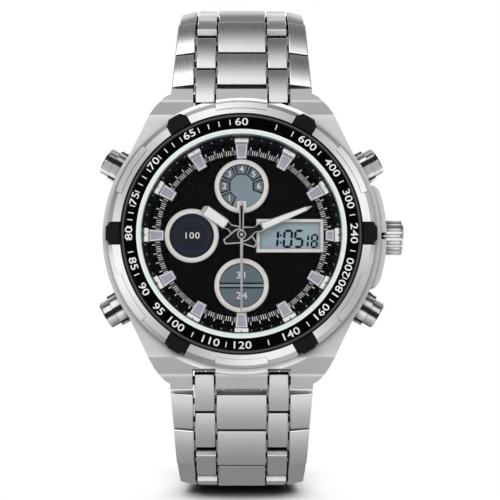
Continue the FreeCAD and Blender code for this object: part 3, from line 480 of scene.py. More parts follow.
def gasket_colour(recipe):
    return radial(recipe, 16.7, 17.8, GASKET_TONES_AND_SHADE)


black_scale = finish_of("black_scale", scale_colour, 0.3, extras=gloss(0.0))
gasket_pale = finish_of("gasket_pale", gasket_colour, 0.35)
print("the scale ring and the gasket have", len(SCALE_STOPS) + len(GASKET_TONES_AND_SHADE), "shades")

# %% [markdown]
# ## Inside the watch, and its glass
#
# Behind the dial are a moulded holder, a green board, a coil and brass wheels. The crystal is nearly
# invisible. A glass shader would slow every ray to the dial, so the crystal gets a very low alpha
# and keeps its gloss.

# %% Plastic, copper, brass, rubber and glass
module_plastic = mottled("module_plastic", (0.80, 0.80, 0.76), (0.86, 0.86, 0.83), 300, 0.5, 0.1)
board_green = mottled("board_green", (0.02, 0.16, 0.05), (0.03, 0.24, 0.08), 300, 0.4, 0.1)
coil_copper = mottled("coil_copper", (0.50, 0.22, 0.09), (0.62, 0.30, 0.14), 900, 0.3, 0.1, 1.0)
brass_wheels = mottled("brass_wheels", (0.62, 0.45, 0.16), (0.72, 0.55, 0.24), 700, 0.25, 0.1, 1.0)
rubber_black = mottled("rubber_black", grey(0.012), grey(0.025), 400, 0.7, 0.1)
crystal_glass = mottled("crystal_glass", (0.010, 0.012, 0.014), (0.016, 0.018, 0.020), 60, 0.03, 0.01,
                        extras={"Alpha": 0.05})
print("six finishes for the inside and the glass")

# %% [markdown]
# ## Small dials and the display
#
# The upper and lower small dials are blue-grey enamel with darker cells, the left one is a dark
# navy. The display is a grey-blue reflector with near-black ink. They are mottled like the rest; the
# reflector alone is streaked, so its noise is stretched.

# %% Colours of the small dials and the display
cell_grey = mottled("cell_grey", (0.10, 0.13, 0.16), (0.14, 0.18, 0.21), 500, 0.35, 0.1)
disc_grey = mottled("disc_grey", (0.20, 0.27, 0.31), (0.25, 0.33, 0.38), 500, 0.35, 0.1)
disc_navy = mottled("disc_navy", (0.001, 0.002, 0.008), (0.002, 0.005, 0.018), 400, 0.3, 0.1,
                    extras=gloss(0.2))
navy_light = mottled("navy_light", (0.003, 0.010, 0.030), (0.005, 0.015, 0.045), 400, 0.3, 0.1,
                     extras=gloss(0.2))
line_black = mottled("line_black", (0.002, 0.003, 0.004), (0.004, 0.005, 0.006), 600, 0.4, 0.1,
                     extras=gloss(0.1))
number_red = mottled("number_red", (0.45, 0.10, 0.10), (0.55, 0.16, 0.15), 600, 0.4, 0.1)
lcd_ink = mottled("display_ink", (0.001, 0.003, 0.020), (0.002, 0.006, 0.034), 800, 0.35, 0.1,
                  extras=gloss(0.1))


def reflector_colour(recipe):
    streaks = recipe.noise(recipe.place((120.0, 1.0, 60.0)), 1.0, 1.0)
    return recipe.mix_colours(streaks, rgba((0.29, 0.41, 0.47)), rgba((0.40, 0.50, 0.53)))


lcd_back = finish_of("display_back", reflector_colour, 0.25)
print("eight finishes for the small dials and the display")

# %% [markdown]
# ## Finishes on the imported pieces
#
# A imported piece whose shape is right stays, and only gets a better material. This could be written
# piece by piece. A list that goes from finish to pieces shows at a glance which share one.

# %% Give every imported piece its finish
links = sorted(name for name in nodes if name.startswith("link_"))
finishes = [
    (steel_case, ["case_middle"]),
    (steel_back, ["case_back", "clasp_base", "clasp_blade"]),
    (steel_links, links + ["clasp_cover", "clasp_latch"]),
    (steel_barrel, ["button_tubes", "pusher_2", "pusher_4", "pusher_8", "pusher_10"]),
    (steel_bezel, ["bezel"]),
    (steel_bright, ["lug_bars", "coin_cell", "crown", "crown_stem"]),
    (black_studs, ["bezel_studs"]),
    (black_scale, ["scale_ring"]),
    (dial_black, ["dial"]),
    (flange_black, ["flange_ring"]),
    (gasket_pale, ["crystal_gasket"]),
    (print_cream, ["subdial_rings", "display_frame"]),
    (marker_chrome, ["hour_markers"]),
    (lume_white, ["hour_lume", "minute_lume"]),
    (hand_silver, ["hour_hand", "minute_hand", "seconds_hand"]),
    (module_plastic, ["module_frame"]),
    (board_green, ["circuit_board"]),
    (coil_copper, ["drive_coil"]),
    (brass_wheels, ["hour_wheel", "minute_wheel", "seconds_wheel"]),
    (rubber_black, ["back_gasket", "crown_seal"]),
    (crystal_glass, ["crystal"]),
    (lcd_back, ["display_panel"]),
    (disc_grey, ["subdial_discs"]),
]
for material, names in finishes:
    for name in names:
        mesh = nodes[name].data
        mesh.materials.clear()
        mesh.materials.append(material)
print(sum(len(names) for _, names in finishes), "packed pieces have a finish")

# %% [markdown]
# ## Small flat pieces
#
# Printing, enamel and lacquer are thin layers. Painted into the dial's material they would blur
# close up. Each one is a thin plate made from its outline in X and Z, so it has a real edge that
# catches the light, and it lies just on the surface below it.

# %% A plate from an outline
PRINT = 0.02 * MM


def plate(outlines, back, thickness):
    """One mesh of thin plates: outlines are lists of (x, z) in metres, back is the Y they lie on."""
    shape = bmesh.new()
    for outline in outlines:
        near = [shape.verts.new((x, back - thickness, z)) for x, z in outline]
        far = [shape.verts.new((x, back, z)) for x, z in outline]
        shape.faces.new(near)
        shape.faces.new(list(reversed(far)))
        for index in range(len(near)):
            after = (index + 1) % len(near)
            shape.faces.new((near[index], far[index], far[after], near[after]))
    bmesh.ops.triangulate(shape, faces=shape.faces[:])
    bmesh.ops.recalc_face_normals(shape, faces=shape.faces[:])
    return shape


def piece(name, shape, material, body="case"):
    """Turn a mesh, or a mesh in the making, into an object that rides on a body."""
    mesh = shape
    if isinstance(shape, bmesh.types.BMesh):
        mesh = bpy.data.meshes.new(name)
        shape.to_mesh(mesh)
        shape.free()
    mesh.materials.clear()
    mesh.materials.append(material)
    made = bpy.data.objects.new(name, mesh)
    bpy.context.scene.collection.objects.link(made)
    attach(made, body)
    return made


def turned(points, degrees):
    """Turn points clockwise round the dial's axis, as seen from the front."""
    turn = math.radians(degrees)
    return [(x * math.cos(turn) + z * math.sin(turn), z * math.cos(turn) - x * math.sin(turn))
            for x, z in points]


def in_metres(points, x=0.0, z=0.0):
    """Points in millimetres round a centre, as metres on the dial."""
    return [((x + px) * MM, (z + pz) * MM) for px, pz in points]


print("a printed layer is %.2f mm thick" % (PRINT / MM))

# %% [markdown]
# ## Rings of ticks
#
# The minute track and the flange carry ticks at even angles. They could be copied by hand or by an
# array, but a small Geometry Nodes tree places a bar at each angle from named inputs for count,
# radius, length and width, so one tree makes every ring. Its result becomes a plain mesh.

# %% A Geometry Nodes tree for a ring of ticks
TICK_INPUTS = {"Count": "Int", "First": "Float", "Step": "Float", "Radius": "Float", "Depth": "Float",
               "Length": "Float", "Width": "Float", "Thickness": "Float", "Tilt": "Float",
               "Material": "Material"}


def tick_tree():
    """Bars on a circle in X and Z, each turned to its own angle and tilted towards the glass."""
    tree = bpy.data.node_groups.new("ring_of_ticks", "GeometryNodeTree")
    tree.interface.new_socket("Geometry", in_out="OUTPUT", socket_type="NodeSocketGeometry")
    for label, kind in TICK_INPUTS.items():
        tree.interface.new_socket(label, in_out="INPUT", socket_type="NodeSocket" + kind)

    def add(kind, values=None, operation=None):
        node = tree.nodes.new(kind)
        if operation:
            node.operation = operation
        for key, value in (values or {}).items():
            if isinstance(value, bpy.types.NodeSocket):
                tree.links.new(value, node.inputs[key])
            else:
                node.inputs[key].default_value = value
        return node.outputs

    def maths(operation, first, second=0.0):
        return add("ShaderNodeMath", {0: first, 1: second}, operation)[0]

    given = add("NodeGroupInput")
    index = add("GeometryNodeInputIndex")[0]
    angle = maths("ADD", maths("MULTIPLY", index, given["Step"]), given["First"])
    x = maths("MULTIPLY", maths("SINE", angle), given["Radius"])
    z = maths("MULTIPLY", maths("COSINE", angle), given["Radius"])
    spot = add("ShaderNodeCombineXYZ", {0: x, 1: given["Depth"], 2: z})[0]
    points = add("GeometryNodePoints", {"Count": given["Count"], "Position": spot})[0]
    size = add("ShaderNodeCombineXYZ", {0: given["Width"], 1: given["Thickness"], 2: given["Length"]})[0]
    bar = add("GeometryNodeMeshCube", {"Size": size})["Mesh"]
    turn = add("ShaderNodeCombineXYZ", {0: given["Tilt"], 1: angle, 2: 0.0})[0]
    placed = add("GeometryNodeInstanceOnPoints", {"Points": points, "Instance": bar, "Rotation": turn})[0]
    real = add("GeometryNodeRealizeInstances", {0: placed})[0]
    painted = add("GeometryNodeSetMaterial", {"Geometry": real, "Material": given["Material"]})[0]
    add("NodeGroupOutput", {0: painted})
    return tree


RING_OF_TICKS = tick_tree()
print("the tree of ticks has", len(RING_OF_TICKS.nodes), "nodes")

# %% [markdown]
# ## Using the tree
#
# A tree runs as a modifier on an object. An empty mesh holds it for a moment, its inputs are set by
# their identifiers, and the evaluated result is kept as a mesh of its own before the holder goes.

# %% A ring of ticks as a piece


def ring_of(name, count, step, first, radius, length, width, depth, tilt=0.0, thickness=PRINT):
    """White ticks: angles in degrees, radius, length and width in millimetres, depth in metres."""
    sizes = {"Count": count, "First": math.radians(first), "Step": math.radians(step), "Radius": radius * MM,
             "Depth": depth - thickness / 2, "Length": length * MM, "Width": width * MM,
             "Thickness": thickness, "Tilt": math.radians(tilt), "Material": print_white}
    holder = bpy.data.objects.new(name + "_holder", bpy.data.meshes.new(name + "_empty"))
    bpy.context.scene.collection.objects.link(holder)
    modifier = holder.modifiers.new("ticks", "NODES")
    modifier.node_group = RING_OF_TICKS
    for item in RING_OF_TICKS.interface.items_tree:
        if item.in_out == "INPUT":
            modifier[item.identifier] = sizes[item.name]
    evaluated = holder.evaluated_get(bpy.context.evaluated_depsgraph_get())
    mesh = bpy.data.meshes.new_from_object(evaluated)
    bpy.data.objects.remove(holder)
    return piece(name, mesh, print_white)


print("a ring takes", len(TICK_INPUTS), "inputs")

# %% [markdown]
# ## The minute track and the flange
#
# Between two hour markers lie fine ticks at each quarter of a minute, and the whole minutes are
# longer. The markers cover the ticks under them, so each sector is placed by itself. The flange is
# a steep black cone with a small white tick for each minute near its crest, so its ticks lean.

# %% Minute track and flange ticks
HOURS = 12
SECTOR = 360.0 / HOURS
TRACK_INNER = 13.85
FINE_STEP, FINE_COUNT, FINE_LENGTH, FINE_WIDTH = 1.5, 15, 0.8, 0.14
MINUTE_STEP, MINUTE_COUNT, MINUTE_LENGTH, MINUTE_WIDTH = 6.0, 4, 1.36, 0.17
FLANGE_RADIUS, FLANGE_LENGTH, FLANGE_WIDTH = 16.5, 2.0, 0.2
FLANGE_SINK = 1.05 * MM
FLANGE_TILT = -74.0
for hour in range(HOURS):
    ring_of("track_fine_%02d" % hour, FINE_COUNT, FINE_STEP, SECTOR * hour + 3 * FINE_STEP,
            TRACK_INNER + FINE_LENGTH / 2, FINE_LENGTH, FINE_WIDTH, dial_front)
    ring_of("track_minute_%02d" % hour, MINUTE_COUNT, MINUTE_STEP, SECTOR * hour + MINUTE_STEP,
            TRACK_INNER + MINUTE_LENGTH / 2, MINUTE_LENGTH, MINUTE_WIDTH, dial_front)
ring_of("flange_ticks", 60, MINUTE_STEP, 0.0, FLANGE_RADIUS, FLANGE_LENGTH, FLANGE_WIDTH,
        flange_front + FLANGE_SINK, FLANGE_TILT, 0.06 * MM)
print((FINE_COUNT + MINUTE_COUNT) * HOURS, "ticks on the track and 60 on the flange")

# %% [markdown]
# ## Numbers
#
# Printed numbers start as text objects in the built-in font. A whole text could be bent along a
# circle, but each digit becomes a mesh before it is placed, so that it stands at its own angle
# round the ring, as a printer's digits do.

# %% Digits as meshes
DIGIT_BODY = 0.02
CAPITAL_SHARE = 0.7
digit_store = {}


def digit_mesh(character):
    """One digit as a mesh, made once and kept."""
    if character not in digit_store:
        text = bpy.data.curves.new("digit", "FONT")
        text.body = character
        text.size = 1.0
        text.align_x = "CENTER"
        text.align_y = "CENTER"
        text.extrude = DIGIT_BODY / 2
        text.resolution_u = 4
        text.offset = 0.007
        holder = bpy.data.objects.new("digit", text)
        bpy.context.scene.collection.objects.link(holder)
        evaluated = holder.evaluated_get(bpy.context.evaluated_depsgraph_get())
        digit_store[character] = bpy.data.meshes.new_from_object(evaluated)
        bpy.data.objects.remove(holder)
    return digit_store[character]


def add_digit(shape, character, height, place, width=1.0):
    """Add one digit of a real height to a mesh in the making, at a placing matrix."""
    count = len(shape.verts)
    shape.from_mesh(digit_mesh(character))
    shape.verts.ensure_lookup_table()
    size = height / CAPITAL_SHARE
    upright = Matrix.Rotation(math.radians(90), 4, "X")
    grow = Matrix.Diagonal((size * width, size, PRINT / DIGIT_BODY, 1.0))
    bmesh.ops.transform(shape, matrix=place @ upright @ grow, verts=shape.verts[count:])


def ring_number(shape, number, angle, radius, height, depth, outward, pitch, width):
    """Write a number round a ring, its digits' tops outward or inward."""
    text = str(number)
    sign = 1 if outward else -1
    for index, character in enumerate(text):
        turn = math.radians(angle + (index - (len(text) - 1) / 2) * pitch * sign)
        spot = Vector((radius * math.sin(turn), depth - PRINT / 2, radius * math.cos(turn)))
        spin = turn if outward else turn + math.pi
        place = Matrix.Translation(spot) @ Matrix.Rotation(spin, 4, "Y")
        add_digit(shape, character, height, place, width)


print("a digit has", len(digit_mesh("8").polygons), "faces")

# %% [markdown]
# ## The scale round the glass
#
# The ring reads a speed from the time that a kilometre takes, so the angle of a number, in degrees
# from the top, is 21600 divided by it. Numbers near the bottom are written with their tops inward,
# so that they can be read without turning the watch.

# %% Scale numbers and ticks
SCALE_TURN = 21600.0
SCALE_RADIUS = 18.85 * MM
NUMBER_HEIGHT = 1.22 * MM
NUMBER_WIDTH = 1.3
NUMBER_PITCH = 3.55
OUTWARD = [60, 65, 70, 75, 80, 240, 300, 400, 600]
INWARD = [85, 90, 95, 100, 110, 120, 140, 160, 180, 200]
BETWEEN = [speed for speed in range(61, 80) if speed % 5]
BETWEEN += [81, 83, 87, 105, 115, 130, 150, 170, 190, 218, 268, 345, 490, 800, 1200]
SCALE_TICK = in_metres([(-0.08, 18.4), (0.08, 18.4), (0.08, 19.3), (-0.08, 19.3)])
scale_print = bmesh.new()
for speed in OUTWARD + INWARD:
    ring_number(scale_print, speed, SCALE_TURN / speed, SCALE_RADIUS, NUMBER_HEIGHT, scale_front,
                speed in OUTWARD, NUMBER_PITCH, NUMBER_WIDTH)
piece("scale_numbers", scale_print, print_white)
scale_ticks = [turned(SCALE_TICK, SCALE_TURN / speed) for speed in BETWEEN]
piece("scale_ticks", plate(scale_ticks, scale_front, PRINT), print_white)
print(len(OUTWARD + INWARD), "numbers and", len(BETWEEN), "ticks on the scale")

# %% [markdown]
# ## Hour marker fills
#
# Each applied marker is a polished block whose face holds a strip of lavender-grey enamel, and a
# dark seam before its cap on the flange. The strip is a little smaller than the block, which leaves
# the bright edge that the eye sees, so it is a plate of its own and not a colour of the block.

# %% Fills on the twelve markers
FILL_INNER, FILL_OUTER = 13.4, 15.45
FILL_INNER_SHORT = 14.42
SHORT_HOUR = 3
seam_outline = [(-0.96, 15.56), (0.96, 15.56), (0.96, 15.72), (-0.96, 15.72)]
fills, seams = [], []
for hour in range(HOURS):
    inner = FILL_INNER_SHORT if hour == SHORT_HOUR else FILL_INNER
    strip = [(-0.60, inner), (0.60, inner), (0.78, FILL_OUTER), (-0.78, FILL_OUTER)]
    fills.append(turned(in_metres(strip), SECTOR * hour))
    seams.append(turned(in_metres(seam_outline), SECTOR * hour))
piece("marker_fills", plate(fills, marker_front, PRINT), marker_fill)
piece("marker_seams", plate(seams, marker_front, PRINT), hand_black)
print(len(fills), "markers are filled")

# %% [markdown]
# ## Outlines and layers for the small dials
#
# A small dial is a stack of printed layers: the disc, its lines, its cells and its numbers. Arcs of
# points give the outlines, and one function lays an outline on a layer, so the order of the layers
# is plain to see in the calls.

# %% Arcs, rings and layers
SMALL = 8.45
DISC = 3.78
LINE = 0.12
UPPER, LEFT, LOWER = (0.0, SMALL), (-SMALL, 0.0), (0.0, -SMALL)
SMALL_WIDTH = 1.15


def arc_points(radius, first, last, steps):
    """Points on an arc, in degrees clockwise from the top."""
    turns = [math.radians(first + (last - first) * index / steps) for index in range(steps + 1)]
    return [(radius * math.sin(turn), radius * math.cos(turn)) for turn in turns]


def round_outline(radius, steps=48):
    return arc_points(radius, 0.0, 360.0 - 360.0 / steps, steps - 1)


def cell_outline(angle, half_angle, inner, outer):
    outside = arc_points(outer, angle - half_angle, angle + half_angle, 6)
    inside = arc_points(inner, angle + half_angle, angle - half_angle, 3)
    return outside + inside


def flat_ring(radius, width, steps=64):
    """A ring as a row of small four-cornered outlines."""
    outlines = []
    for index in range(steps):
        first = 360.0 * index / steps
        last = 360.0 * (index + 1) / steps
        outside = arc_points(radius + width / 2, first, last, 1)
        outlines.append(outside + arc_points(radius - width / 2, last, first, 1))
    return outlines


def enamel(name, outlines, centre, layer, material):
    """One layer of a small dial, counted from its disc; outlines are in millimetres."""
    placed = [in_metres(outline, *centre) for outline in outlines]
    return piece(name, plate(placed, disc_front - layer * PRINT, PRINT), material)


def write_small(shape, text, x, z, height, layer, pitch=0.0, width=SMALL_WIDTH):
    """Write digits round a point of the dial, in millimetres."""
    for index, character in enumerate(text):
        along = x + (index - (len(text) - 1) / 2) * pitch
        spot = Vector((along * MM, disc_front - layer * PRINT, z * MM))
        add_digit(shape, character, height * MM, Matrix.Translation(spot), width)


print("small dials at %.2f mm from the axis" % SMALL)

# %% [markdown]
# ## The upper small dial
#
# It shows seven cells round a grey centre, and the lowest one is white, as if chosen. Each dark
# cell lies inside a black line, which is only a slightly larger cell on the layer below it.

# %% Upper small dial with seven cells
CELL_ANGLES = [225, 270, 315, 0, 45, 90]
CELL_OUTER_HALF, CELL_OUTER_START = 20.5, 2.0
CELL_HALF, CELL_START = 16.0, 2.18
CELL_NUMBERS = 2.92
CHOSEN = [(-0.75, -3.75), (0.75, -3.75), (0.75, -2.55), (-0.75, -2.55)]
cell_lines = [cell_outline(angle, CELL_OUTER_HALF, CELL_OUTER_START, DISC) for angle in CELL_ANGLES]
cells = [cell_outline(angle, CELL_HALF, CELL_START, DISC - LINE) for angle in CELL_ANGLES]
enamel("upper_disc", [round_outline(DISC)], UPPER, 0, disc_grey)
enamel("upper_cell_lines", cell_lines, UPPER, 1, line_black)
enamel("upper_cells", cells, UPPER, 2, cell_grey)
enamel("upper_chosen_cell", [CHOSEN], UPPER, 2, print_white)
upper_numbers = bmesh.new()
for number, angle in enumerate(CELL_ANGLES, 1):
    x, z = arc_points(CELL_NUMBERS, angle, angle, 1)[0]
    write_small(upper_numbers, str(number), x, SMALL + z, 0.95, 3.5)
piece("upper_numbers", upper_numbers, print_white)
seventh = bmesh.new()
write_small(seventh, "7", 0.0, SMALL - 3.15, 0.8, 3.5, width=1.0)
piece("upper_seventh", seventh, number_red)
print(len(CELL_ANGLES) + 1, "cells")

# %% [markdown]
# ## The left small dial
#
# This one is a dark navy disc with two rings in a slightly lighter navy and a plain number. The
# rings are so faint that only their edges and the change of colour show.

# %% Left small dial with its faint rings
enamel("left_disc", [round_outline(DISC)], LEFT, 0, disc_navy)
enamel("left_rings", flat_ring(1.9, 0.22) + flat_ring(2.9, 0.5), LEFT, 1, navy_light)
left_number = bmesh.new()
write_small(left_number, "100", -SMALL, 0.0, 1.05, 2.5, 0.95)
piece("left_number", left_number, print_white)
print("left disc %.2f mm across" % (2 * DISC))

# %% [markdown]
# ## The lower small dial
#
# The lower dial is split across the middle into two halves. Each half is a cell like those above,
# cut from a circle by a chord, and it lies on a larger black one that gives the line round it.

# %% Lower small dial, split across the middle
HALF_STEPS = 24
LINE_SPAN = 86.5
CELL_SPAN = 82.0


def halves(radius, span):
    """An upper and a lower part of a disc, each cut off by a chord."""
    return [arc_points(radius, middle - span, middle + span, HALF_STEPS) for middle in (0.0, 180.0)]


enamel("lower_disc", [round_outline(DISC)], LOWER, 0, disc_grey)
enamel("lower_lines", halves(DISC, LINE_SPAN), LOWER, 1, line_black)
enamel("lower_halves", halves(DISC - LINE, CELL_SPAN), LOWER, 2, cell_grey)
lower_numbers = bmesh.new()
for text, rise in (("31", 1.7), ("24", -1.75)):
    write_small(lower_numbers, text, 0.0, rise - SMALL, 1.15, 3.5, 1.05)
piece("lower_numbers", lower_numbers, print_white)
print("the lower numbers stand in two halves of %d points" % (HALF_STEPS + 1))

# %% [markdown]
# ## The liquid crystal display
#
# A display digit is seven bars, each lit or not. A font with that look would have to be loaded. A
# short table says which bars make each digit instead, and each bar is a six-sided plate that leans a
# little, as on such displays.

# %% Display digits
SEGMENTS = {"0": "abcdef", "1": "bc", "5": "acdfg", "8": "abcdefg"}
LEAN_OF_DIGITS = 0.08
TALL_GAP, WIDE_GAP = 0.1, 0.06
LARGE = (-1.85, 1.25, 2.75, 0.42)
LITTLE = (-1.9, 0.9, 2.1, 0.33)
SHOWN = [("1", 4.75, LARGE), ("0", 7.1, LARGE), ("5", 8.95, LARGE),
         ("1", 10.25, LITTLE), ("8", 11.8, LITTLE)]
DOT_MIDDLE, DOT_HALF = 6.62, 0.17


def bar_outline(length, width, upright):
    """A six-sided bar round the origin."""
    half = length / 2
    side = width / 2
    points = [(-half, 0), (-half + side, side), (half - side, side), (half, 0), (half - side, -side),
              (-half + side, -side)]
    return [(pz, px) for px, pz in points] if upright else points


def display_digit(character, x, size):
    """Outlines of the lit bars of one digit whose left edge is at x, in millimetres."""
    low, width, height, thickness = size
    quarter = height / 4
    places = {"a": (width / 2, height), "g": (width / 2, height / 2), "d": (width / 2, 0.0),
              "f": (0.0, 3 * quarter), "b": (width, 3 * quarter), "e": (0.0, quarter), "c": (width, quarter)}
    outlines = []
    for bar in SEGMENTS[character]:
        upright = bar in "fbec"
        length = height / 2 - TALL_GAP if upright else width - WIDE_GAP
        px, pz = places[bar]
        moved = [(px + bx, pz + bz) for bx, bz in bar_outline(length, thickness, upright)]
        outlines.append([(x + mx + LEAN_OF_DIGITS * mz, low + mz) for mx, mz in moved])
    return outlines


bars = [outline for character, x, size in SHOWN for outline in display_digit(character, x, size)]
for height in (-1.1, 0.1):
    corners = ((-1, -1), (1, -1), (1, 1), (-1, 1))
    bars.append([(DOT_MIDDLE + DOT_HALF * sx, height + DOT_HALF * sz) for sx, sz in corners])
ink = [in_metres(bar) for bar in bars]
piece("display_digits", plate(ink, panel_front, PRINT), lcd_ink)
print(len(bars), "bars and dots are lit")

# %% [markdown]
# ## Black lacquer on the hands
#
# The hands are polished, with white lume in a window. Near the arbor their faces are lacquered black
# inside a thin bright outline, and the seconds hand has a dark line and a dark ring on its hub. Each
# layer is drawn as if its hand pointed to 12, and then turned to the time that the watch shows.

# %% Lacquer on the hands
HOUR_ANGLE = 305.0
MINUTE_ANGLE = 67.7
SECONDS_ANGLE = 180.0
ARM_SINK = 0.2 * MM
HOUR_BLACK = [(-0.34, -2.75), (0.34, -2.75), (1.0, -0.7), (1.0, 0.7), (0.36, 2.45), (0.68, 3.1),
              (-0.68, 3.1), (-0.36, 2.45), (-1.0, 0.7), (-1.0, -0.7)]
MINUTE_BLACK = [(-0.3, -2.95), (0.3, -2.95), (1.0, -0.7), (1.0, 0.7), (0.34, 2.45), (0.54, 3.1),
                (0.54, 3.65), (-0.54, 3.65), (-0.54, 3.1), (-0.34, 2.45), (-1.0, 0.7), (-1.0, -0.7)]
SECONDS_BLACK = [(-0.22, -4.9), (0.22, -4.9), (0.16, -0.9), (-0.16, -0.9)]
hub_front = front_of("seconds_hand")
lacquers = [("hour_lacquer", "hour_hand", [HOUR_BLACK], HOUR_ANGLE, front_of("hour_hand")),
            ("minute_lacquer", "minute_hand", [MINUTE_BLACK], MINUTE_ANGLE, front_of("minute_hand")),
            ("seconds_line", "seconds_hand", [SECONDS_BLACK], SECONDS_ANGLE, hub_front + ARM_SINK),
            ("seconds_hub_ring", "seconds_hand", flat_ring(0.42, 0.26, 32), 0.0, hub_front)]
for name, hand, outlines, angle, front in lacquers:
    laid = [turned(in_metres(outline), angle) for outline in outlines]
    piece(name, plate(laid, front, PRINT), hand_black, hand)
print(len(lacquers), "layers of lacquer")

# %% [markdown]
# ## The camera
#
# The photograph looks at the dial from slightly below and from about 350 mm. Its place could be
# found by trial, but one pixel is a known length at the bezel, so the lens and the small shift of
# the aim follow from the pixel on which the middle of the dial lies.

# %% Camera at the photograph's angle
PIXEL = 0.1673 * MM
DISTANCE = 350.0 * MM
ELEVATION = math.radians(-6.0)
DIAL_PIXEL = (241.5, 232.9)
PICTURE = 500.0
SENSOR = 36.0
camera_data = bpy.data.cameras.new("camera")
camera_data.sensor_width = SENSOR
camera_data.lens = SENSOR * DISTANCE / (PICTURE * PIXEL)
camera_data.clip_start = 0.01
camera_data.clip_end = 10.0
camera = bpy.data.objects.new("camera", camera_data)
bpy.context.scene.collection.objects.link(camera)
bpy.context.scene.camera = camera
look = Vector((0.0, math.cos(ELEVATION), math.sin(-ELEVATION)))
up = Vector((0.0, -math.sin(-ELEVATION), math.cos(ELEVATION)))
target = Vector(((PICTURE / 2 - DIAL_PIXEL[0]) * PIXEL, front_of("bezel"), 0.0))
target -= up * (PICTURE / 2 - DIAL_PIXEL[1]) * PIXEL
camera.location = target - look * DISTANCE
camera.rotation_euler = look.to_track_quat("-Z", "Y").to_euler()
print("camera lens %.1f mm" % camera_data.lens)

# %% [markdown]
# ## Lamps and surroundings
#
# A watch is photographed in a bright tent. White surroundings alone make steel look milky. Dark
# cards would give the metal its edges, and here dark rings in the world, seen only in reflections,
# take their place. The rings are given as angles from the line of sight. Two weak lamps soften them.

# %% Lamps and the tent
TENT = [(0, 0.95), (12, 0.95), (25, 1.0), (38, 0.85), (50, 0.6), (57, 0.3), (62, 0.11), (75, 0.11),
        (85, 0.5), (98, 0.5), (112, 0.2), (150, 0.25), (180, 0.3)]
BLUE_SHARE = 1.01


def lamp(name, place, size, watts):
    """A square lamp that looks at the middle of the watch."""
    data = bpy.data.lights.new(name, "AREA")
    data.shape = "RECTANGLE"
    data.size = data.size_y = size
    data.energy = watts
    made = bpy.data.objects.new(name, data)
    bpy.context.scene.collection.objects.link(made)
    made.location = place
    made.rotation_euler = (-Vector(place)).to_track_quat("-Z", "Y").to_euler()
    return made


lamp("tent_key", (-0.36, -0.50, 0.26), 0.6, 1.5)
lamp("tent_fill", (0.38, -0.48, 0.18), 0.5, 0.7)
world = bpy.data.worlds.new("tent")
bpy.context.scene.world = world
world.use_nodes = True
tent = Recipe(world.node_tree)
direction = tent.add("ShaderNodeTexCoord", output=0)
to_back = tent.add("ShaderNodeSeparateXYZ", {}, {0: direction}, output=1)
tent_stops = [(0.5 + 0.5 * math.cos(math.radians(angle)), (tone, tone, tone * BLUE_SHARE))
              for angle, tone in reversed(TENT)]
rings_of_grey = tent.ramp(to_back * -0.5 + 0.5, tent_stops)
to_camera = tent.add("ShaderNodeLightPath", output=0)
tent_colour = tent.mix_colours(to_camera, rings_of_grey, rgba(grey(1.0)))
background = tent.add("ShaderNodeBackground", {}, {"Color": tent_colour, "Strength": 1.0})
tent.add("ShaderNodeOutputWorld", {}, {"Surface": background})
print("the tent has", len(TENT), "rings")

# %% [markdown]
# ## The sheet of paper
#
# The watch stands on one sheet that rises behind it without a corner. A flat floor would be seen
# edge on from here. Near the watch the sheet slopes down towards the camera instead, so the soft
# shadow below the band shows. Further back it is level, and at the end it bends up.

# %% Floor and backdrop as one sheet
SHEET_LEAN = math.radians(8.0)
FOOT_BACK = 17.0 * MM
FOOT_GAP = 0.15 * MM
SHEET_NEAR = -0.30
SHEET_LEVEL = 0.10
BEND_START = 0.90
BEND_RADIUS = 0.30
BEND_STEPS = 12
SHEET_TOP = 1.6
SHEET_HALF = 1.4
foot = Vector((0.0, FOOT_BACK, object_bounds()[0].z - FOOT_GAP))
rise = SHEET_LEVEL * math.tan(SHEET_LEAN)
profile = [(SHEET_NEAR, SHEET_NEAR * math.tan(SHEET_LEAN)), (SHEET_LEVEL, rise)]
for step in range(BEND_STEPS + 1):
    bend = math.radians(90.0 * step / BEND_STEPS)
    height = rise + BEND_RADIUS - BEND_RADIUS * math.cos(bend)
    profile.append((BEND_START + BEND_RADIUS * math.sin(bend), height))
profile.append((BEND_START + BEND_RADIUS, SHEET_TOP))
sheet = bmesh.new()
rows = [[sheet.verts.new(foot + Vector((x, y, z))) for x in (-SHEET_HALF, SHEET_HALF)] for y, z in profile]
for first, second in zip(rows, rows[1:]):
    sheet.faces.new((first[0], first[1], second[1], second[0]))
sheet_mesh = bpy.data.meshes.new("floor_sheet")
sheet.to_mesh(sheet_mesh)
sheet.free()
floor = bpy.data.objects.new("floor_sheet", sheet_mesh)
bpy.context.scene.collection.objects.link(floor)
print("the sheet has", len(rows), "rows")

# %% [markdown]
# ## White paper that keeps its shadow
#
# Paper lit like this would come out grey, and more light would spoil the steel. The sheet glows
# white for the camera instead, except where the watch hems it in: there the plain paper shows and
# takes the shadow, and a painted shadow darkens its colour there as well. In the steel's reflections
# it glows too, with a painted shade that makes it less bright under the watch.

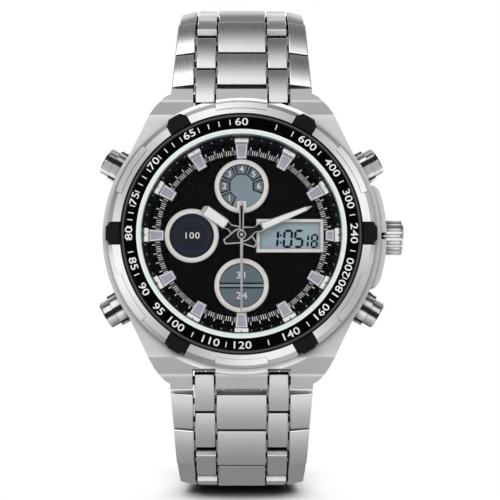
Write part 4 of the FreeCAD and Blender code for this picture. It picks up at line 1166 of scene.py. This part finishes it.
# %% Finish of the sheet
SHADOW_REACH = 0.012
SHADOW_SAMPLES = 16
SHADOW_CLOSED, SHADOW_OPEN = 0.2, 0.93
GLOW_NEAR, GLOW_FAR = 0.02, 0.08
GLOW_LOW, GLOW_HIGH = 0.32, 0.95
WHITE = rgba(grey(1.0))
paper = bpy.data.materials.new("paper")
paper.use_nodes = True
page = Recipe(paper.node_tree)
# Painted shadow: where ambient occlusion finds the watch close by, the paper's colour goes from pale to dark
# grey and its white glow gives way.
unshaded = page.share(page.openness(SHADOW_REACH, SHADOW_SAMPLES), SHADOW_CLOSED, SHADOW_OPEN)
paper_with_painted_shadow = page.mix_colours(unshaded, rgba(grey(0.10)), rgba(grey(0.85)))
diffuse = page.add("ShaderNodeBsdfDiffuse", {}, {"Color": paper_with_painted_shadow})
to_camera = page.add("ShaderNodeLightPath", output=0)
in_gloss = Wire(page, to_camera.socket.node.outputs["Is Glossy Ray"])
through_glass = Wire(page, to_camera.socket.node.outputs["Is Transmission Ray"])
spot = page.add("ShaderNodeTexCoord", output=3)
away = page.add("ShaderNodeVectorMath", {"operation": "DISTANCE"}, {0: spot, 1: tuple(foot)}, output=1)
# Painted shade in reflections: the glow that glossy rays see is dimmer near the foot of the watch.
reflected_unshaded_share = page.share(away, GLOW_NEAR, GLOW_FAR, GLOW_LOW, GLOW_HIGH)
mirrored_with_painted_shade = page.mix_colours(reflected_unshaded_share, rgba(grey(0.0)), WHITE)
glow_colour = page.mix_colours(in_gloss, WHITE, mirrored_with_painted_shade)
glow = page.add("ShaderNodeEmission", {}, {"Color": glow_colour, "Strength": 1.0})
glow_share = (to_camera + through_glass) * unshaded + in_gloss
mixed = page.add("ShaderNodeMixShader", {}, {0: glow_share, 1: diffuse, 2: glow})
page.add("ShaderNodeOutputMaterial", {}, {"Surface": mixed})
floor.data.materials.append(paper)
print("the paper has", len(paper.node_tree.nodes), "nodes")

# %% [markdown]
# ## The end
#
# A film curve would turn the paper grey and the blacks milky, so the colours are shown as they are.

# %% Colour management and the end
bpy.context.scene.view_settings.view_transform = "Standard"
